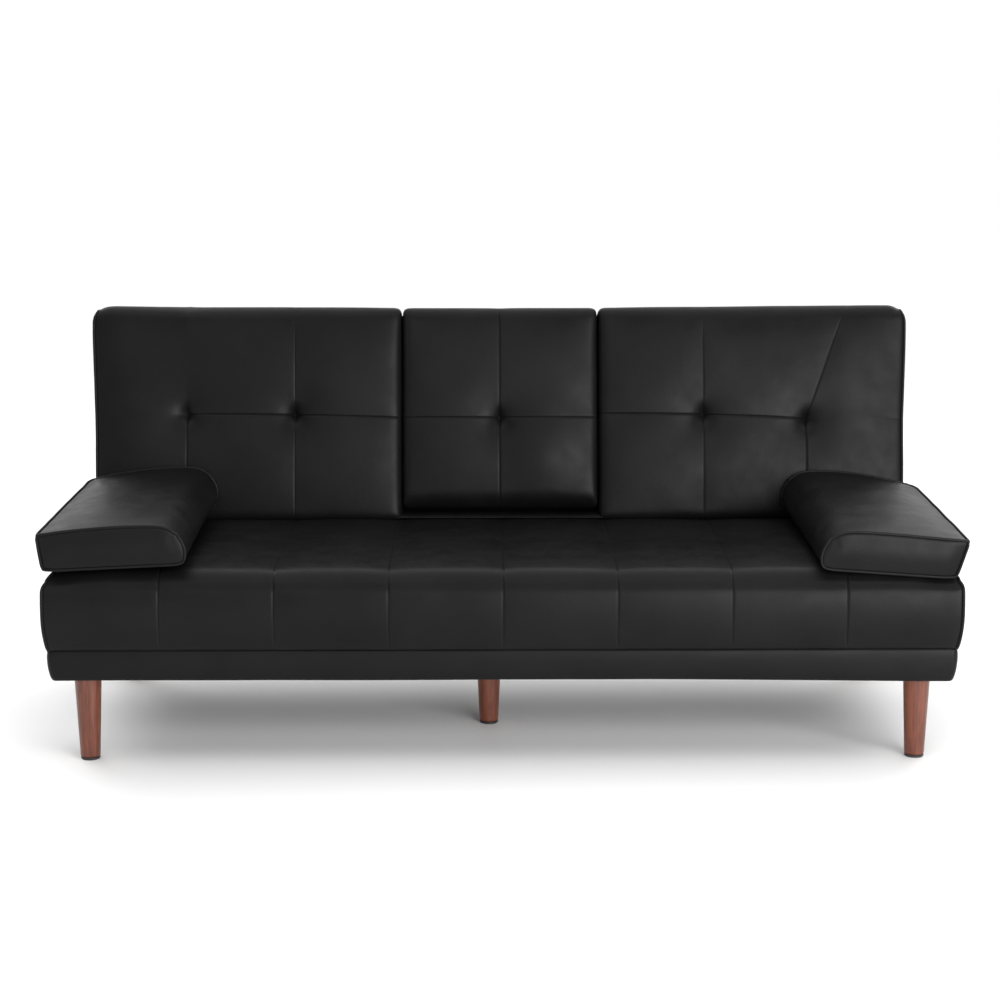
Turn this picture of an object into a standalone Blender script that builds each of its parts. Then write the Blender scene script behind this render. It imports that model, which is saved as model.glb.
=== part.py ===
"""Click-clack futon sofa bed: seat on a legged base, a backrest that reclines flat on two ratchet
hinges, a fold-down centre console with two cup holders, and two loose arm pillows.

Metres, +Z up, X along the length, the front faces -Y. The origin is on the floor, at the centre of
the footprint. Moving pieces hang from empties that sit on their joint's axis.
"""

import math

import bmesh
import bpy

# ---------------------------------------------------------------- driving dimensions
LENGTH = 1.750            # seat cushion, end to end
FRONT = -0.3775           # front face of the seat cushion
SEAT_REAR = FRONT + 0.575
BASE_REAR = FRONT + 0.700
BASE_BOTTOM = 0.166       # underside of the plinth, one leg above the floor
BASE_TOP = 0.224          # seam between the plinth band and the seat
SEAT_TOP = 0.379
LEAN = math.radians(14)   # backrest from the vertical
BACK_LENGTH = 0.445       # backrest panel, bottom end to top end
BACK_U0 = 0.006           # the cushions stop a little short of the bottom end
BACK_THICK = 0.105
BACK_HALF = 0.864
BACK_CORNER_Y = FRONT + 0.547   # front bottom corner of the backrest panel
BACK_CORNER_Z = 0.381
PIVOT_Y = FRONT + 0.571   # backrest hinge axis
PIVOT_Z = 0.350
GAP = 0.0005              # between pieces that touch

# base and seat structure
BOARD = 0.022
COVER = 0.010             # padded leather band round the plinth
PLINTH_HALF = 0.863
PLINTH_FRONT = FRONT + 0.010
BOARD_X1 = PLINTH_HALF - COVER - GAP
BOARD_X0 = BOARD_X1 - BOARD
BOARD_FRONT = PLINTH_FRONT + COVER + GAP
BOARD_REAR = BASE_REAR - COVER - GAP
BOARD_BOTTOM = BASE_BOTTOM + 0.0025
SEAT_BOARD_TOP = 0.290
SEAT_BOARD_REAR = FRONT + 0.552
CENTRE_RAIL_X = -0.026    # the middle leg and its rail stand a little off centre
CENTRE_RAIL_WIDE = 0.060
CENTRE_RAIL_TOP = 0.2085
SEAT_WALL = 0.0215
SEAT_FOAM_BOTTOM = 0.2965

# legs
LEG_TOP_R = 0.0260
LEG_FOOT_R = 0.0190
PAD_HIGH = 0.0050
STUD_R = 0.0040
STUD_HIGH = 0.030
LEG_X = 0.793
LEG_FRONT_Y = FRONT + 0.060
LEG_REAR_Y = FRONT + 0.648
LEG_CENTRE_Y = FRONT + 0.297

# sinuous seat springs
SPRING_XS = (-0.70, -0.42, -0.15, 0.15, 0.42, 0.70)
SPRING_WIRE_R = 0.0018
SPRING_PITCH = 0.034
SPRING_HALF_WIDE = 0.022

# backrest, in its own directions: v from the front face to the rear, u from the bottom end up
POCKET_HALF = 0.2115      # inner faces of the two back cushions
FOAM_DEEP = 0.0745        # foam in front of the frame
FRAME_V0 = 0.0780
FRAME_V1 = 0.1000
FRAME_U0 = 0.020
FRAME_U1 = 0.430
RAIL_WIDE = 0.060
STILE_X1 = 0.8214
INNER_STILE_X0 = 0.2165
INNER_STILE_X1 = 0.2565

# console, in the backrest's directions
CONSOLE_HALF = 0.2045
CONSOLE_TOP_U = 0.441
CONSOLE_AXIS_U = 0.050
CONSOLE_AXIS_V = 0.038
CONSOLE_END_R = 0.038     # round bottom end, struck from the console's own axis
CONSOLE_FOAM_V = 0.030
CONSOLE_FRAME_V = 0.066
CONSOLE_TRAY_V = 0.0745
CUP_X = 0.094
CUP_U = 0.285
CUP_HOLE_R = 0.0392
CUP_OUTER_R = 0.0385
CUP_INNER_R = 0.0365
CUP_RIM_R = 0.0445
CUP_BOTTOM_V = 0.033

# hinges: plates that lie in the YZ plane, listed from the middle of the sofa outwards
HINGE_R = 0.020
RIVET_R = 0.0045
BACK_ARM_X = (0.8217, 0.8252)
SEAT_ARM_X = (0.8262, 0.8297)
SLOT_X = (0.8170, 0.8350)
PAWL_REACH = 0.040        # hinge axis to pawl pin
PAWL_TURN = math.radians(30)
PAWL_TIP_REACH = 0.0224

# arm pillows
PILLOW_WIDE = 0.276
PILLOW_HIGH = 0.078
PILLOW_FRONT = FRONT + 0.012
PILLOW_REAR = FRONT + 0.540
PILLOW_OUTER_X = 0.8640
PILLOW_OUTER_Z = 0.3705
PILLOW_TILT = {"left": math.radians(5.2), "right": math.radians(4.4)}

ROUND_STEPS = 24
SIDES = {"left": -1, "right": 1}


# ---------------------------------------------------------------- scene and materials
def clear_scene():
    for obj in list(bpy.data.objects):
        bpy.data.objects.remove(obj, do_unlink=True)


def new_collection(name, shown=True):
    collection = bpy.data.collections.new(name)
    bpy.context.scene.collection.children.link(collection)
    collection.hide_render = not shown
    return collection


def new_material(name, colour, roughness, metallic=0.0):
    material = bpy.data.materials.new(name)
    material.use_nodes = True
    shader = material.node_tree.nodes["Principled BSDF"]
    shader.inputs["Base Color"].default_value = (*colour, 1.0)
    shader.inputs["Roughness"].default_value = roughness
    shader.inputs["Metallic"].default_value = metallic
    return material


clear_scene()
SOFA = new_collection("futon_sofa_bed")
CUTTERS = new_collection("cutters", shown=False)
LEATHER = new_material("black_leatherette", (0.012, 0.012, 0.013), 0.42)
LEG_WOOD = new_material("walnut_stain", (0.165, 0.055, 0.030), 0.35)
PINE = new_material("pine_board", (0.62, 0.45, 0.27), 0.65)
FELT = new_material("black_nonwoven", (0.015, 0.015, 0.015), 0.95)
PLASTIC = new_material("black_plastic", (0.014, 0.014, 0.014), 0.35)
LAMINATE = new_material("black_laminate", (0.016, 0.016, 0.016), 0.30)
STEEL = new_material("zinc_plated_steel", (0.55, 0.56, 0.57), 0.35, 1.0)
SPRING_STEEL = new_material("spring_steel", (0.20, 0.20, 0.21), 0.40, 1.0)


# ---------------------------------------------------------------- building blocks
def add_object(name, data, material, collection=SOFA, parent=None):
    obj = bpy.data.objects.new(name, data)
    collection.objects.link(obj)
    if material:
        data.materials.append(material)
    if collection is CUTTERS:
        obj.hide_render = True
        obj.display_type = "WIRE"
    obj.parent = parent
    return obj


def add_empty(name, location, rotation=(0, 0, 0), parent=None):
    empty = bpy.data.objects.new(name, None)
    SOFA.objects.link(empty)
    empty.location = location
    empty.rotation_euler = rotation
    empty.parent = parent
    return empty


def add_box(name, low, high, material, parent=None, collection=SOFA, bevel=0.0, segments=2):
    """A box between two corners, in the parent's directions."""
    mesh = bpy.data.meshes.new(name)
    body = bmesh.new()
    bmesh.ops.create_cube(body, size=1.0)
    size = [b - a for a, b in zip(low, high)]
    bmesh.ops.scale(body, vec=size, verts=body.verts)
    body.to_mesh(mesh)
    body.free()
    obj = add_object(name, mesh, material, collection, parent)
    obj.location = [(a + b) / 2 for a, b in zip(low, high)]
    if bevel:
        add_bevel(obj, bevel, segments)
    return obj


def add_bevel(obj, width, segments, angle=50):
    bevel = obj.modifiers.new("rounded_edges", "BEVEL")
    bevel.width = width
    bevel.segments = segments
    bevel.limit_method = "ANGLE"
    bevel.angle_limit = math.radians(angle)
    return bevel


def cut(obj, cutter, operation="DIFFERENCE"):
    boolean = obj.modifiers.new(cutter.name, "BOOLEAN")
    boolean.operation = operation
    boolean.object = cutter


def turned(name, profile, material, location, steps=ROUND_STEPS, parent=None, rotation=(0, 0, 0)):
    """A solid of revolution about local Z from (radius, height) points, listed top to bottom."""
    mesh = bpy.data.meshes.new(name)
    points = [(r, 0.0, z) for r, z in profile]
    edges = [(i, i + 1) for i in range(len(points) - 1)]
    mesh.from_pydata(points, edges, [])
    obj = add_object(name, mesh, material, parent=parent)
    obj.location = location
    obj.rotation_euler = rotation
    screw = obj.modifiers.new("turned", "SCREW")
    screw.steps = screw.render_steps = steps
    screw.use_merge_vertices = True
    screw.merge_threshold = 0.0001
    screw.use_smooth_shade = True
    return obj


def flat_curve(name, outlines, thickness):
    """Closed outlines in the XY plane, later ones as holes, extruded to a thickness along Z."""
    curve = bpy.data.curves.new(name, "CURVE")
    curve.dimensions = "2D"
    curve.fill_mode = "BOTH"
    curve.extrude = thickness / 2
    for outline in outlines:
        spline = curve.splines.new("POLY")
        spline.points.add(len(outline) - 1)
        for point, (x, y) in zip(spline.points, outline):
            point.co = (x, y, 0.0, 1.0)
        spline.use_cyclic_u = True
    return curve


def as_mesh(obj):
    """Replaces a curve object by its welded mesh, so that modifiers can cut it."""
    bpy.context.view_layer.update()
    graph = bpy.context.evaluated_depsgraph_get()
    mesh = bpy.data.meshes.new_from_object(obj.evaluated_get(graph))
    body = bmesh.new()
    body.from_mesh(mesh)
    bmesh.ops.remove_doubles(body, verts=body.verts, dist=0.00001)
    bmesh.ops.recalc_face_normals(body, faces=body.faces)
    body.to_mesh(mesh)
    body.free()
    name, parent, collection = obj.name, obj.parent, obj.users_collection[0]
    place = obj.matrix_basis.copy()
    bpy.data.objects.remove(obj, do_unlink=True)
    made = bpy.data.objects.new(name, mesh)
    collection.objects.link(made)
    made.parent = parent
    made.matrix_basis = place
    return made


def plate(name, outlines, x_range, material, parent=None):
    """A flat plate in the YZ plane: outlines are (y, z) points, and x_range its two faces."""
    curve = flat_curve(name, outlines, abs(x_range[1] - x_range[0]))
    obj = add_object(name, curve, material, parent=parent)
    obj.rotation_euler = (math.pi / 2, 0, math.pi / 2)
    obj.location = ((x_range[0] + x_range[1]) / 2, 0, 0)
    return obj


def arc(centre, radius, start, end, count):
    """Points on an arc, by angles in degrees from the first axis."""
    angles = [math.radians(start + (end - start) * i / (count - 1)) for i in range(count)]
    return [(centre[0] + radius * math.cos(a), centre[1] + radius * math.sin(a)) for a in angles]


def circle(centre, radius, count=16):
    return arc(centre, radius, 0, 360 * (count - 1) / count, count)


def mirrored(side, x_range):
    return sorted(side * x for x in x_range)


# ---------------------------------------------------------------- base and seat frame
def side_board_outline():
    """Tall under the seat, low behind it, where the backrest comes down."""
    low_top = BASE_TOP - GAP
    return [
        (BOARD_FRONT, BOARD_BOTTOM), (BOARD_REAR, BOARD_BOTTOM), (BOARD_REAR, low_top),
        (SEAT_BOARD_REAR, low_top), (SEAT_BOARD_REAR, SEAT_BOARD_TOP), (BOARD_FRONT, SEAT_BOARD_TOP),
    ]


def build_boards():
    for side, s in SIDES.items():
        plate(f"side_board_{side}", [side_board_outline()], mirrored(s, (BOARD_X0, BOARD_X1)), PINE)
    inner = BOARD_X0 - GAP
    front_inside = BOARD_FRONT + BOARD
    rear_inside = BOARD_REAR - BOARD
    add_box("front_board", (-inner, BOARD_FRONT, BOARD_BOTTOM), (inner, front_inside, SEAT_BOARD_TOP), PINE)
    # The hinge arms pass beside the ends of this one.
    add_box("seat_rear_board",
            (-SEAT_ARM_X[0] + 0.002, SEAT_BOARD_REAR - BOARD, CENTRE_RAIL_TOP + GAP),
            (SEAT_ARM_X[0] - 0.002, SEAT_BOARD_REAR, SEAT_BOARD_TOP), PINE)
    add_box("base_rear_board", (-inner, rear_inside, BOARD_BOTTOM), (inner, BOARD_REAR, BASE_TOP - GAP), PINE)
    half = CENTRE_RAIL_WIDE / 2
    rail = add_box("centre_rail",
                   (CENTRE_RAIL_X - half, front_inside + GAP, BOARD_BOTTOM),
                   (CENTRE_RAIL_X + half, rear_inside - GAP, CENTRE_RAIL_TOP), PINE)
    cut(rail, stud_hole("centre", CENTRE_RAIL_X, LEG_CENTRE_Y))


def stud_hole(label, x, y):
    """The hole that a leg's screw stud goes up into."""
    deep = STUD_HIGH + 0.008
    mesh = bpy.data.meshes.new("stud_hole")
    body = bmesh.new()
    bmesh.ops.create_cone(body, cap_ends=True, segments=16, radius1=STUD_R + 0.0006,
                          radius2=STUD_R + 0.0006, depth=deep)
    body.to_mesh(mesh)
    body.free()
    hole = add_object(f"stud_hole_{label}", mesh, None, CUTTERS)
    hole.location = (x, y, BOARD_BOTTOM + deep / 2 - 0.004)
    return hole


def build_leg_blocks():
    """Corner blocks that carry the legs' threaded inserts."""
    x0, x1 = LEG_X - 0.040, BOARD_X0 - GAP
    spans = {"front": (BOARD_FRONT + BOARD + GAP, LEG_FRONT_Y + 0.045),
             "rear": (LEG_REAR_Y - 0.045, BOARD_REAR - BOARD - GAP)}
    for end, (y0, y1) in spans.items():
        for side, s in SIDES.items():
            a, b = mirrored(s, (x0, x1))
            block = add_box(f"leg_block_{end}_{side}", (a, y0, BOARD_BOTTOM), (b, y1, CENTRE_RAIL_TOP), PINE)
            y = LEG_FRONT_Y if end == "front" else LEG_REAR_Y
            cut(block, stud_hole(f"{end}_{side}", s * LEG_X, y))


def leg_places():
    places = {"centre": (CENTRE_RAIL_X, LEG_CENTRE_Y)}
    for end, y in (("front", LEG_FRONT_Y), ("rear", LEG_REAR_Y)):
        for side, s in SIDES.items():
            places[f"{end}_{side}"] = (s * LEG_X, y)
    return places


def build_legs():
    top = BOARD_BOTTOM - GAP
    foot = PAD_HIGH + GAP
    leg_profile = [
        (0.0, top + STUD_HIGH), (STUD_R, top + STUD_HIGH), (STUD_R, top),
        (LEG_TOP_R - 0.001, top), (LEG_TOP_R, top - 0.001),
        (LEG_FOOT_R, foot + 0.002), (LEG_FOOT_R - 0.0015, foot), (0.0, foot),
    ]
    pad_profile = [
        (0.0, PAD_HIGH), (LEG_FOOT_R - 0.0006, PAD_HIGH), (LEG_FOOT_R - 0.0006, 0.0012),
        (LEG_FOOT_R - 0.0018, 0.0), (0.0, 0.0),
    ]
    for label, (x, y) in leg_places().items():
        turned(f"leg_{label}", leg_profile, LEG_WOOD, (x, y, 0))
        turned(f"foot_pad_{label}", pad_profile, PLASTIC, (x, y, 0))


def build_plinth_covers():
    """The padded band round the base, one strip on each side."""
    z0, z1 = BASE_BOTTOM, BASE_TOP
    h, c = PLINTH_HALF, COVER
    for end, y0 in (("front", PLINTH_FRONT), ("rear", BASE_REAR - c)):
        add_box(f"plinth_cover_{end}", (-h, y0, z0), (h, y0 + c, z1), LEATHER, bevel=0.003)
    for side, s in SIDES.items():
        a, b = mirrored(s, (h - c, h))
        low = (a, PLINTH_FRONT + c + GAP, z0)
        add_box(f"plinth_cover_{side}", low, (b, BASE_REAR - c - GAP, z1), LEATHER, bevel=0.003)


def build_dust_cover():
    """Non-woven sheet stapled under the base, with a hole round each leg."""
    edge = PLINTH_HALF - COVER - 0.003
    y0, y1 = BOARD_FRONT + 0.002, BOARD_REAR - 0.002
    outline = [(-edge, y0), (edge, y0), (edge, y1), (-edge, y1)]
    holes = [circle(place, LEG_TOP_R + 0.001, 20) for place in leg_places().values()]
    sheet = add_object("dust_cover", flat_curve("dust_cover", [outline, *holes], 0.0012), FELT)
    sheet.location.z = BOARD_BOTTOM - 0.0012


def build_springs():
    """Zigzag wires from the front board to the seat's rear board."""
    start, end = BOARD_FRONT + 0.008, SEAT_BOARD_REAR - 0.008
    bars = int((end - start) / SPRING_PITCH)
    pitch = (end - start) / bars
    z = SEAT_BOARD_TOP + SPRING_WIRE_R + 0.0006
    for number, x in enumerate(SPRING_XS, 1):
        curve = bpy.data.curves.new(f"seat_spring_{number}", "CURVE")
        curve.dimensions = "3D"
        curve.bevel_depth = SPRING_WIRE_R
        curve.bevel_resolution = 1
        curve.use_fill_caps = True
        points = []
        for bar in range(bars + 1):
            s = 1 if bar % 2 == 0 else -1
            y = start + bar * pitch
            points.append((x - s * SPRING_HALF_WIDE, y, z))
            points.append((x + s * SPRING_HALF_WIDE, y, z))
            if bar < bars:
                for a in (-45, 45):
                    turn = math.radians(a)
                    points.append((x + s * (SPRING_HALF_WIDE + pitch / 2 * math.cos(turn)),
                                   y + pitch / 2 * (1 + math.sin(turn)), z))
        spline = curve.splines.new("POLY")
        spline.points.add(len(points) - 1)
        for point, co in zip(spline.points, points):
            point.co = (*co, 1.0)
        add_object(curve.name, curve, SPRING_STEEL)


# ---------------------------------------------------------------- seat cushion
def build_seat_cushion():
    """Foam and cover: a slab over the springs with walls down to the plinth, crowned at the ends."""
    half = LENGTH / 2
    bottom = BASE_TOP + GAP
    crown_x, end_z, radius = 0.740, 0.3700, 0.030
    right = [(crown_x, SEAT_TOP)] + arc((half - radius, end_z - radius), radius, 86, 0, 6)
    outline = [(half, bottom), (-half, bottom)]
    outline += [(-x, z) for x, z in reversed(right)] + right
    depth = SEAT_REAR - FRONT
    shape = add_object("seat_cushion", flat_curve("seat_cushion", [outline], depth), LEATHER)
    shape.rotation_euler = (math.pi / 2, 0, 0)
    shape.location.y = (FRONT + SEAT_REAR) / 2
    cushion = as_mesh(shape)
    add_bevel(cushion, 0.016, 3, angle=60)
    x = half - SEAT_WALL
    cavity = add_box("seat_cavity", (-x, BOARD_FRONT - GAP, BASE_TOP - 0.02),
                     (x, SEAT_BOARD_REAR + GAP, SEAT_FOAM_BOTTOM), None, collection=CUTTERS)
    cut(cushion, cavity)
    for side, s in SIDES.items():
        a, b = mirrored(s, SLOT_X)
        slot = add_box(f"seat_hinge_slot_{side}", (a, FRONT + 0.515, 0.27), (b, SEAT_REAR + 0.02, 0.42),
                       None, collection=CUTTERS)
        cut(cushion, slot)


# ---------------------------------------------------------------- backrest
def back_axes():
    """The empty on the hinge axis: its Y is v and its Z is u."""
    return add_empty("backrest_hinge_axis", (0, PIVOT_Y, PIVOT_Z), (-LEAN, 0, 0))


def hinge_vu():
    """The hinge axis, as (v, u) of the backrest panel."""
    dy, dz = PIVOT_Y - BACK_CORNER_Y, PIVOT_Z - BACK_CORNER_Z
    return (dy * math.cos(LEAN) - dz * math.sin(LEAN), dy * math.sin(LEAN) + dz * math.cos(LEAN))


HINGE_V, HINGE_U = hinge_vu()


def local(x, v, u):
    """A point of the backrest panel, from the hinge axis."""
    return (x, v - HINGE_V, u - HINGE_U)


def back_box(name, x_range, v_range, u_range, material, parent, **options):
    low = local(x_range[0], v_range[0], u_range[0])
    high = local(x_range[1], v_range[1], u_range[1])
    return add_box(name, low, high, material, parent=parent, **options)


def build_back_frame(axes):
    v = (FRAME_V0, FRAME_V1)
    stile_in = STILE_X1 - RAIL_WIDE
    rail_x = (-stile_in + GAP, stile_in - GAP)
    rails = {"bottom": (FRAME_U0, FRAME_U0 + RAIL_WIDE), "top": (FRAME_U1 - RAIL_WIDE, FRAME_U1)}
    for place, u in rails.items():
        back_box(f"back_rail_{place}", rail_x, v, u, PINE, axes)
    between = (rails["bottom"][1] + GAP, rails["top"][0] - GAP)
    for side, s in SIDES.items():
        outer = mirrored(s, (stile_in, STILE_X1))
        back_box(f"back_stile_outer_{side}", outer, v, (FRAME_U0, FRAME_U1), PINE, axes)
        inner = mirrored(s, (INNER_STILE_X0, INNER_STILE_X1))
        back_box(f"back_stile_inner_{side}", inner, v, between, PINE, axes)
    x = INNER_STILE_X0 - GAP
    back_box("recess_panel", (-x, x), (0.080, 0.086), between, FELT, axes)


def build_back_cushions(axes):
    """Foam slabs with a wall round the frame on the three outer sides."""
    u_low, u_high = 0.018, 0.432
    wall_x = STILE_X1 + 0.012
    for side, s in SIDES.items():
        x = mirrored(s, (POCKET_HALF, BACK_HALF))
        cushion = back_box(f"back_cushion_{side}", x, (0, BACK_THICK), (BACK_U0, BACK_LENGTH), LEATHER, axes,
                           bevel=0.026, segments=4)
        cavity = back_box(f"back_cavity_{side}", mirrored(s, (POCKET_HALF - 0.03, wall_x)),
                          (FOAM_DEEP, BACK_THICK + 0.02), (u_low, u_high), None, axes, collection=CUTTERS)
        cut(cushion, cavity)
        slot = back_box(f"back_hinge_slot_{side}", mirrored(s, SLOT_X), (0.012, BACK_THICK + 0.02),
                        (-0.02, 0.058), None, axes, collection=CUTTERS)
        cut(cushion, slot)


def build_rear_cover(axes):
    v0 = BACK_THICK + 0.0003
    edge = BACK_HALF - 0.018
    back_box("rear_cover", (-edge, edge), (v0, v0 + 0.002), (0.018, 0.428), FELT, axes)


# ---------------------------------------------------------------- console
def console_outline():
    """Side view in (v, u): a round bottom end struck from the axis, and eased top corners."""
    tray, top, ease = CONSOLE_TRAY_V, CONSOLE_TOP_U, 0.016
    axis = (CONSOLE_AXIS_V, CONSOLE_AXIS_U)
    reach = tray - CONSOLE_AXIS_V
    turn = math.degrees(math.acos(reach / CONSOLE_END_R))
    points = arc(axis, CONSOLE_END_R, 180, 360 - turn, 15)
    points += arc((tray - 0.006, top - 0.006), 0.006, 0, 90, 4)
    points += arc((ease, top - ease), ease, 90, 180, 5)
    return points


def console_slice(name, v_range, material, axes):
    """The console's side view, run across its width, between two depths."""
    outline = [(v - CONSOLE_AXIS_V, u - CONSOLE_AXIS_U) for v, u in console_outline()]
    shape = as_mesh(plate(name, [outline], (-CONSOLE_HALF, CONSOLE_HALF), material, parent=axes))
    v0, v1 = (v - CONSOLE_AXIS_V for v in v_range)
    keep = add_box(f"{name}_slice", (-0.3, v0, -0.1), (0.3, v1, 0.5), None, parent=axes, collection=CUTTERS)
    cut(shape, keep, "INTERSECT")
    return shape


def across(name, radius, x_range, v, u, axes):
    """A round cutter along X."""
    mesh = bpy.data.meshes.new(name)
    body = bmesh.new()
    bmesh.ops.create_cone(body, cap_ends=True, segments=16, radius1=radius, radius2=radius,
                          depth=x_range[1] - x_range[0])
    body.to_mesh(mesh)
    body.free()
    hole = add_object(name, mesh, None, CUTTERS, axes)
    hole.rotation_euler = (0, math.pi / 2, 0)
    hole.location = ((x_range[0] + x_range[1]) / 2, v, u)
    return hole


def build_console(back):
    place = local(0, CONSOLE_AXIS_V, CONSOLE_AXIS_U)
    axes = add_empty("console_axis", place, parent=back)
    console_slice("console_cushion", (-0.01, CONSOLE_FOAM_V), LEATHER, axes)

    frame = console_slice("console_frame", (CONSOLE_FOAM_V + GAP, CONSOLE_FRAME_V), PINE, axes)
    wall = 0.022
    inside = add_box("console_inside", (-CONSOLE_HALF + wall, -0.1, 0.036 - CONSOLE_AXIS_U),
                     (CONSOLE_HALF - wall, 0.1, CONSOLE_TOP_U - wall - CONSOLE_AXIS_U), None,
                     parent=axes, collection=CUTTERS)
    cut(frame, inside)
    cut(frame, across("console_bore", 0.0055, (-0.3, 0.3), 0, 0, axes))

    tray = console_slice("console_tray", (CONSOLE_FRAME_V + GAP, 0.2), LAMINATE, axes)
    for side, s in SIDES.items():
        cup_v, cup_u = -CONSOLE_AXIS_V, CUP_U - CONSOLE_AXIS_U
        hole = add_object(f"cup_hole_{side}", hole_mesh(), None, CUTTERS, axes)
        hole.rotation_euler = (math.pi / 2, 0, 0)
        hole.location = (s * CUP_X, cup_v + CONSOLE_TRAY_V, cup_u)
        cut(tray, hole)
        build_cup(side, s, axes)


def hole_mesh():
    mesh = bpy.data.meshes.new("cup_hole")
    body = bmesh.new()
    bmesh.ops.create_cone(body, cap_ends=True, segments=32, radius1=CUP_HOLE_R, radius2=CUP_HOLE_R,
                          depth=0.05)
    body.to_mesh(mesh)
    body.free()
    return mesh


def build_cup(side, s, axes):
    """A flanged plastic cup let into the tray, its mouth towards +v."""
    rim = CONSOLE_TRAY_V + 0.0018
    profile = [
        (0.0, CUP_BOTTOM_V + 0.002), (CUP_INNER_R - 0.004, CUP_BOTTOM_V + 0.002),
        (CUP_INNER_R, CUP_BOTTOM_V + 0.006), (CUP_INNER_R, rim - 0.0006), (CUP_INNER_R + 0.0006, rim),
        (CUP_RIM_R - 0.0006, rim), (CUP_RIM_R, rim - 0.0006), (CUP_RIM_R, CONSOLE_TRAY_V + 0.0004),
        (CUP_OUTER_R, CONSOLE_TRAY_V + 0.0004), (CUP_OUTER_R, CUP_BOTTOM_V + 0.004),
        (CUP_OUTER_R - 0.004, CUP_BOTTOM_V), (0.0, CUP_BOTTOM_V),
    ]
    shifted = [(r, v - CONSOLE_AXIS_V) for r, v in profile]
    # Local Z of the turned shape becomes the console's v.
    turned(f"cup_holder_{side}", shifted, PLASTIC, (s * CUP_X, 0, CUP_U - CONSOLE_AXIS_U),
           steps=32, parent=axes, rotation=(-math.pi / 2, 0, 0))


def build_console_brackets(back):
    """Steel angles on the bottom rail; each carries a stud that the console turns on."""
    u = (0.028, 0.072)
    stud_r = 0.0050
    for side, s in SIDES.items():
        upright = mirrored(s, (0.2083, 0.2112))
        foot = mirrored(s, (0.2083, 0.2480))
        bracket = back_box(f"console_bracket_{side}", upright, (0.026, 0.0776), u, STEEL, back)
        flange = back_box(f"bracket_flange_{side}", foot, (0.0752, 0.0776), (u[0] - 0.001, u[1] + 0.001),
                          None, back, collection=CUTTERS)
        stud_x = mirrored(s, (0.1900, 0.2095))
        _, v, z = local(0, CONSOLE_AXIS_V, CONSOLE_AXIS_U)
        stud = across(f"bracket_stud_{side}", stud_r, stud_x, v, z, back)
        cut(bracket, flange, "UNION")
        cut(bracket, stud, "UNION")


# ---------------------------------------------------------------- hinges
def strip_outline(path, half_width):
    """A flat strip along a path of (a, b) points, with mitred corners."""
    left, right = [], []
    for i, (a, b) in enumerate(path):
        before = path[max(i - 1, 0)]
        after = path[min(i + 1, len(path) - 1)]
        da, db = after[0] - before[0], after[1] - before[1]
        length = math.hypot(da, db)
        na, nb = -db / length * half_width, da / length * half_width
        left.append((a + na, b + nb))
        right.append((a - na, b - nb))
    return left, right


def toothed_head(centre, from_angle, to_angle):
    """The ratchet head: teeth where the pawl rides, and plain round towards the arm."""
    teeth, first, last = 9, -75, 60
    step = (last - first) / teeth
    points = []
    for tooth in range(teeth):
        start = first + tooth * step
        points += arc(centre, HINGE_R, start, start + step * 0.55, 2)
        points += arc(centre, HINGE_R - 0.0024, start + step * 0.62, start + step * 0.62, 2)[:1]
    points += arc(centre, HINGE_R, last, from_angle, 7)
    tail = arc(centre, HINGE_R, to_angle, first + 360, 4)[:-1]
    return points, tail


def build_seat_arm(side, s):
    pivot = (PIVOT_Y, PIVOT_Z)
    path = [(PIVOT_Y - 0.014, PIVOT_Z - 0.017), (FRONT + 0.515, 0.270), (FRONT + 0.500, 0.262),
            (FRONT + 0.415, 0.262)]
    left, right = strip_outline(path, 0.012)
    head, tail = toothed_head(pivot, 195, 265)
    outline = head + right[1:] + left[:0:-1] + tail
    holes = [circle(pivot, RIVET_R + 0.0004), circle((FRONT + 0.430, 0.262), 0.0033, 12),
             circle((FRONT + 0.480, 0.262), 0.0033, 12)]
    plate(f"hinge_seat_arm_{side}", [outline, *holes], mirrored(s, SEAT_ARM_X), STEEL)


def pawl_place():
    """(v, u) of the pawl's pin and tip, from the hinge axis."""
    toward = math.atan2(0.0593, 0.0582)
    pin = (PAWL_REACH * math.cos(toward), PAWL_REACH * math.sin(toward))
    tip_angle = toward - PAWL_TURN
    return pin, (PAWL_TIP_REACH * math.cos(tip_angle), PAWL_TIP_REACH * math.sin(tip_angle))


def build_back_arm(side, s, back):
    v_mid = (FRAME_V0 + FRAME_V1) / 2 - HINGE_V
    bend_u = 0.034 - HINGE_U
    path = [(0.014, 0.014), (v_mid - 0.006, bend_u - 0.008), (v_mid, bend_u + 0.008), (v_mid, 0.165 - HINGE_U)]
    left, right = strip_outline(path, 0.009)
    outline = arc((0, 0), HINGE_R, 75, 375, 20) + right[1:] + left[:0:-1]
    pin, _ = pawl_place()
    holes = [circle((0, 0), RIVET_R + 0.0004), circle(pin, 0.0034, 12),
             circle((v_mid, 0.075 - HINGE_U), 0.0033, 12), circle((v_mid, 0.140 - HINGE_U), 0.0033, 12)]
    plate(f"hinge_back_arm_{side}", [outline, *holes], mirrored(s, BACK_ARM_X), STEEL, parent=back)


def teardrop(big_r, small_centre, small_r):
    """Two circles and the tangents between them; the big one is at the origin."""
    distance = math.hypot(*small_centre)
    heading = math.degrees(math.atan2(small_centre[1], small_centre[0]))
    spread = math.degrees(math.acos((big_r - small_r) / distance))
    return (arc((0, 0), big_r, heading + spread, heading + 360 - spread, 12)
            + arc(small_centre, small_r, heading - spread, heading + spread, 5))


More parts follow.
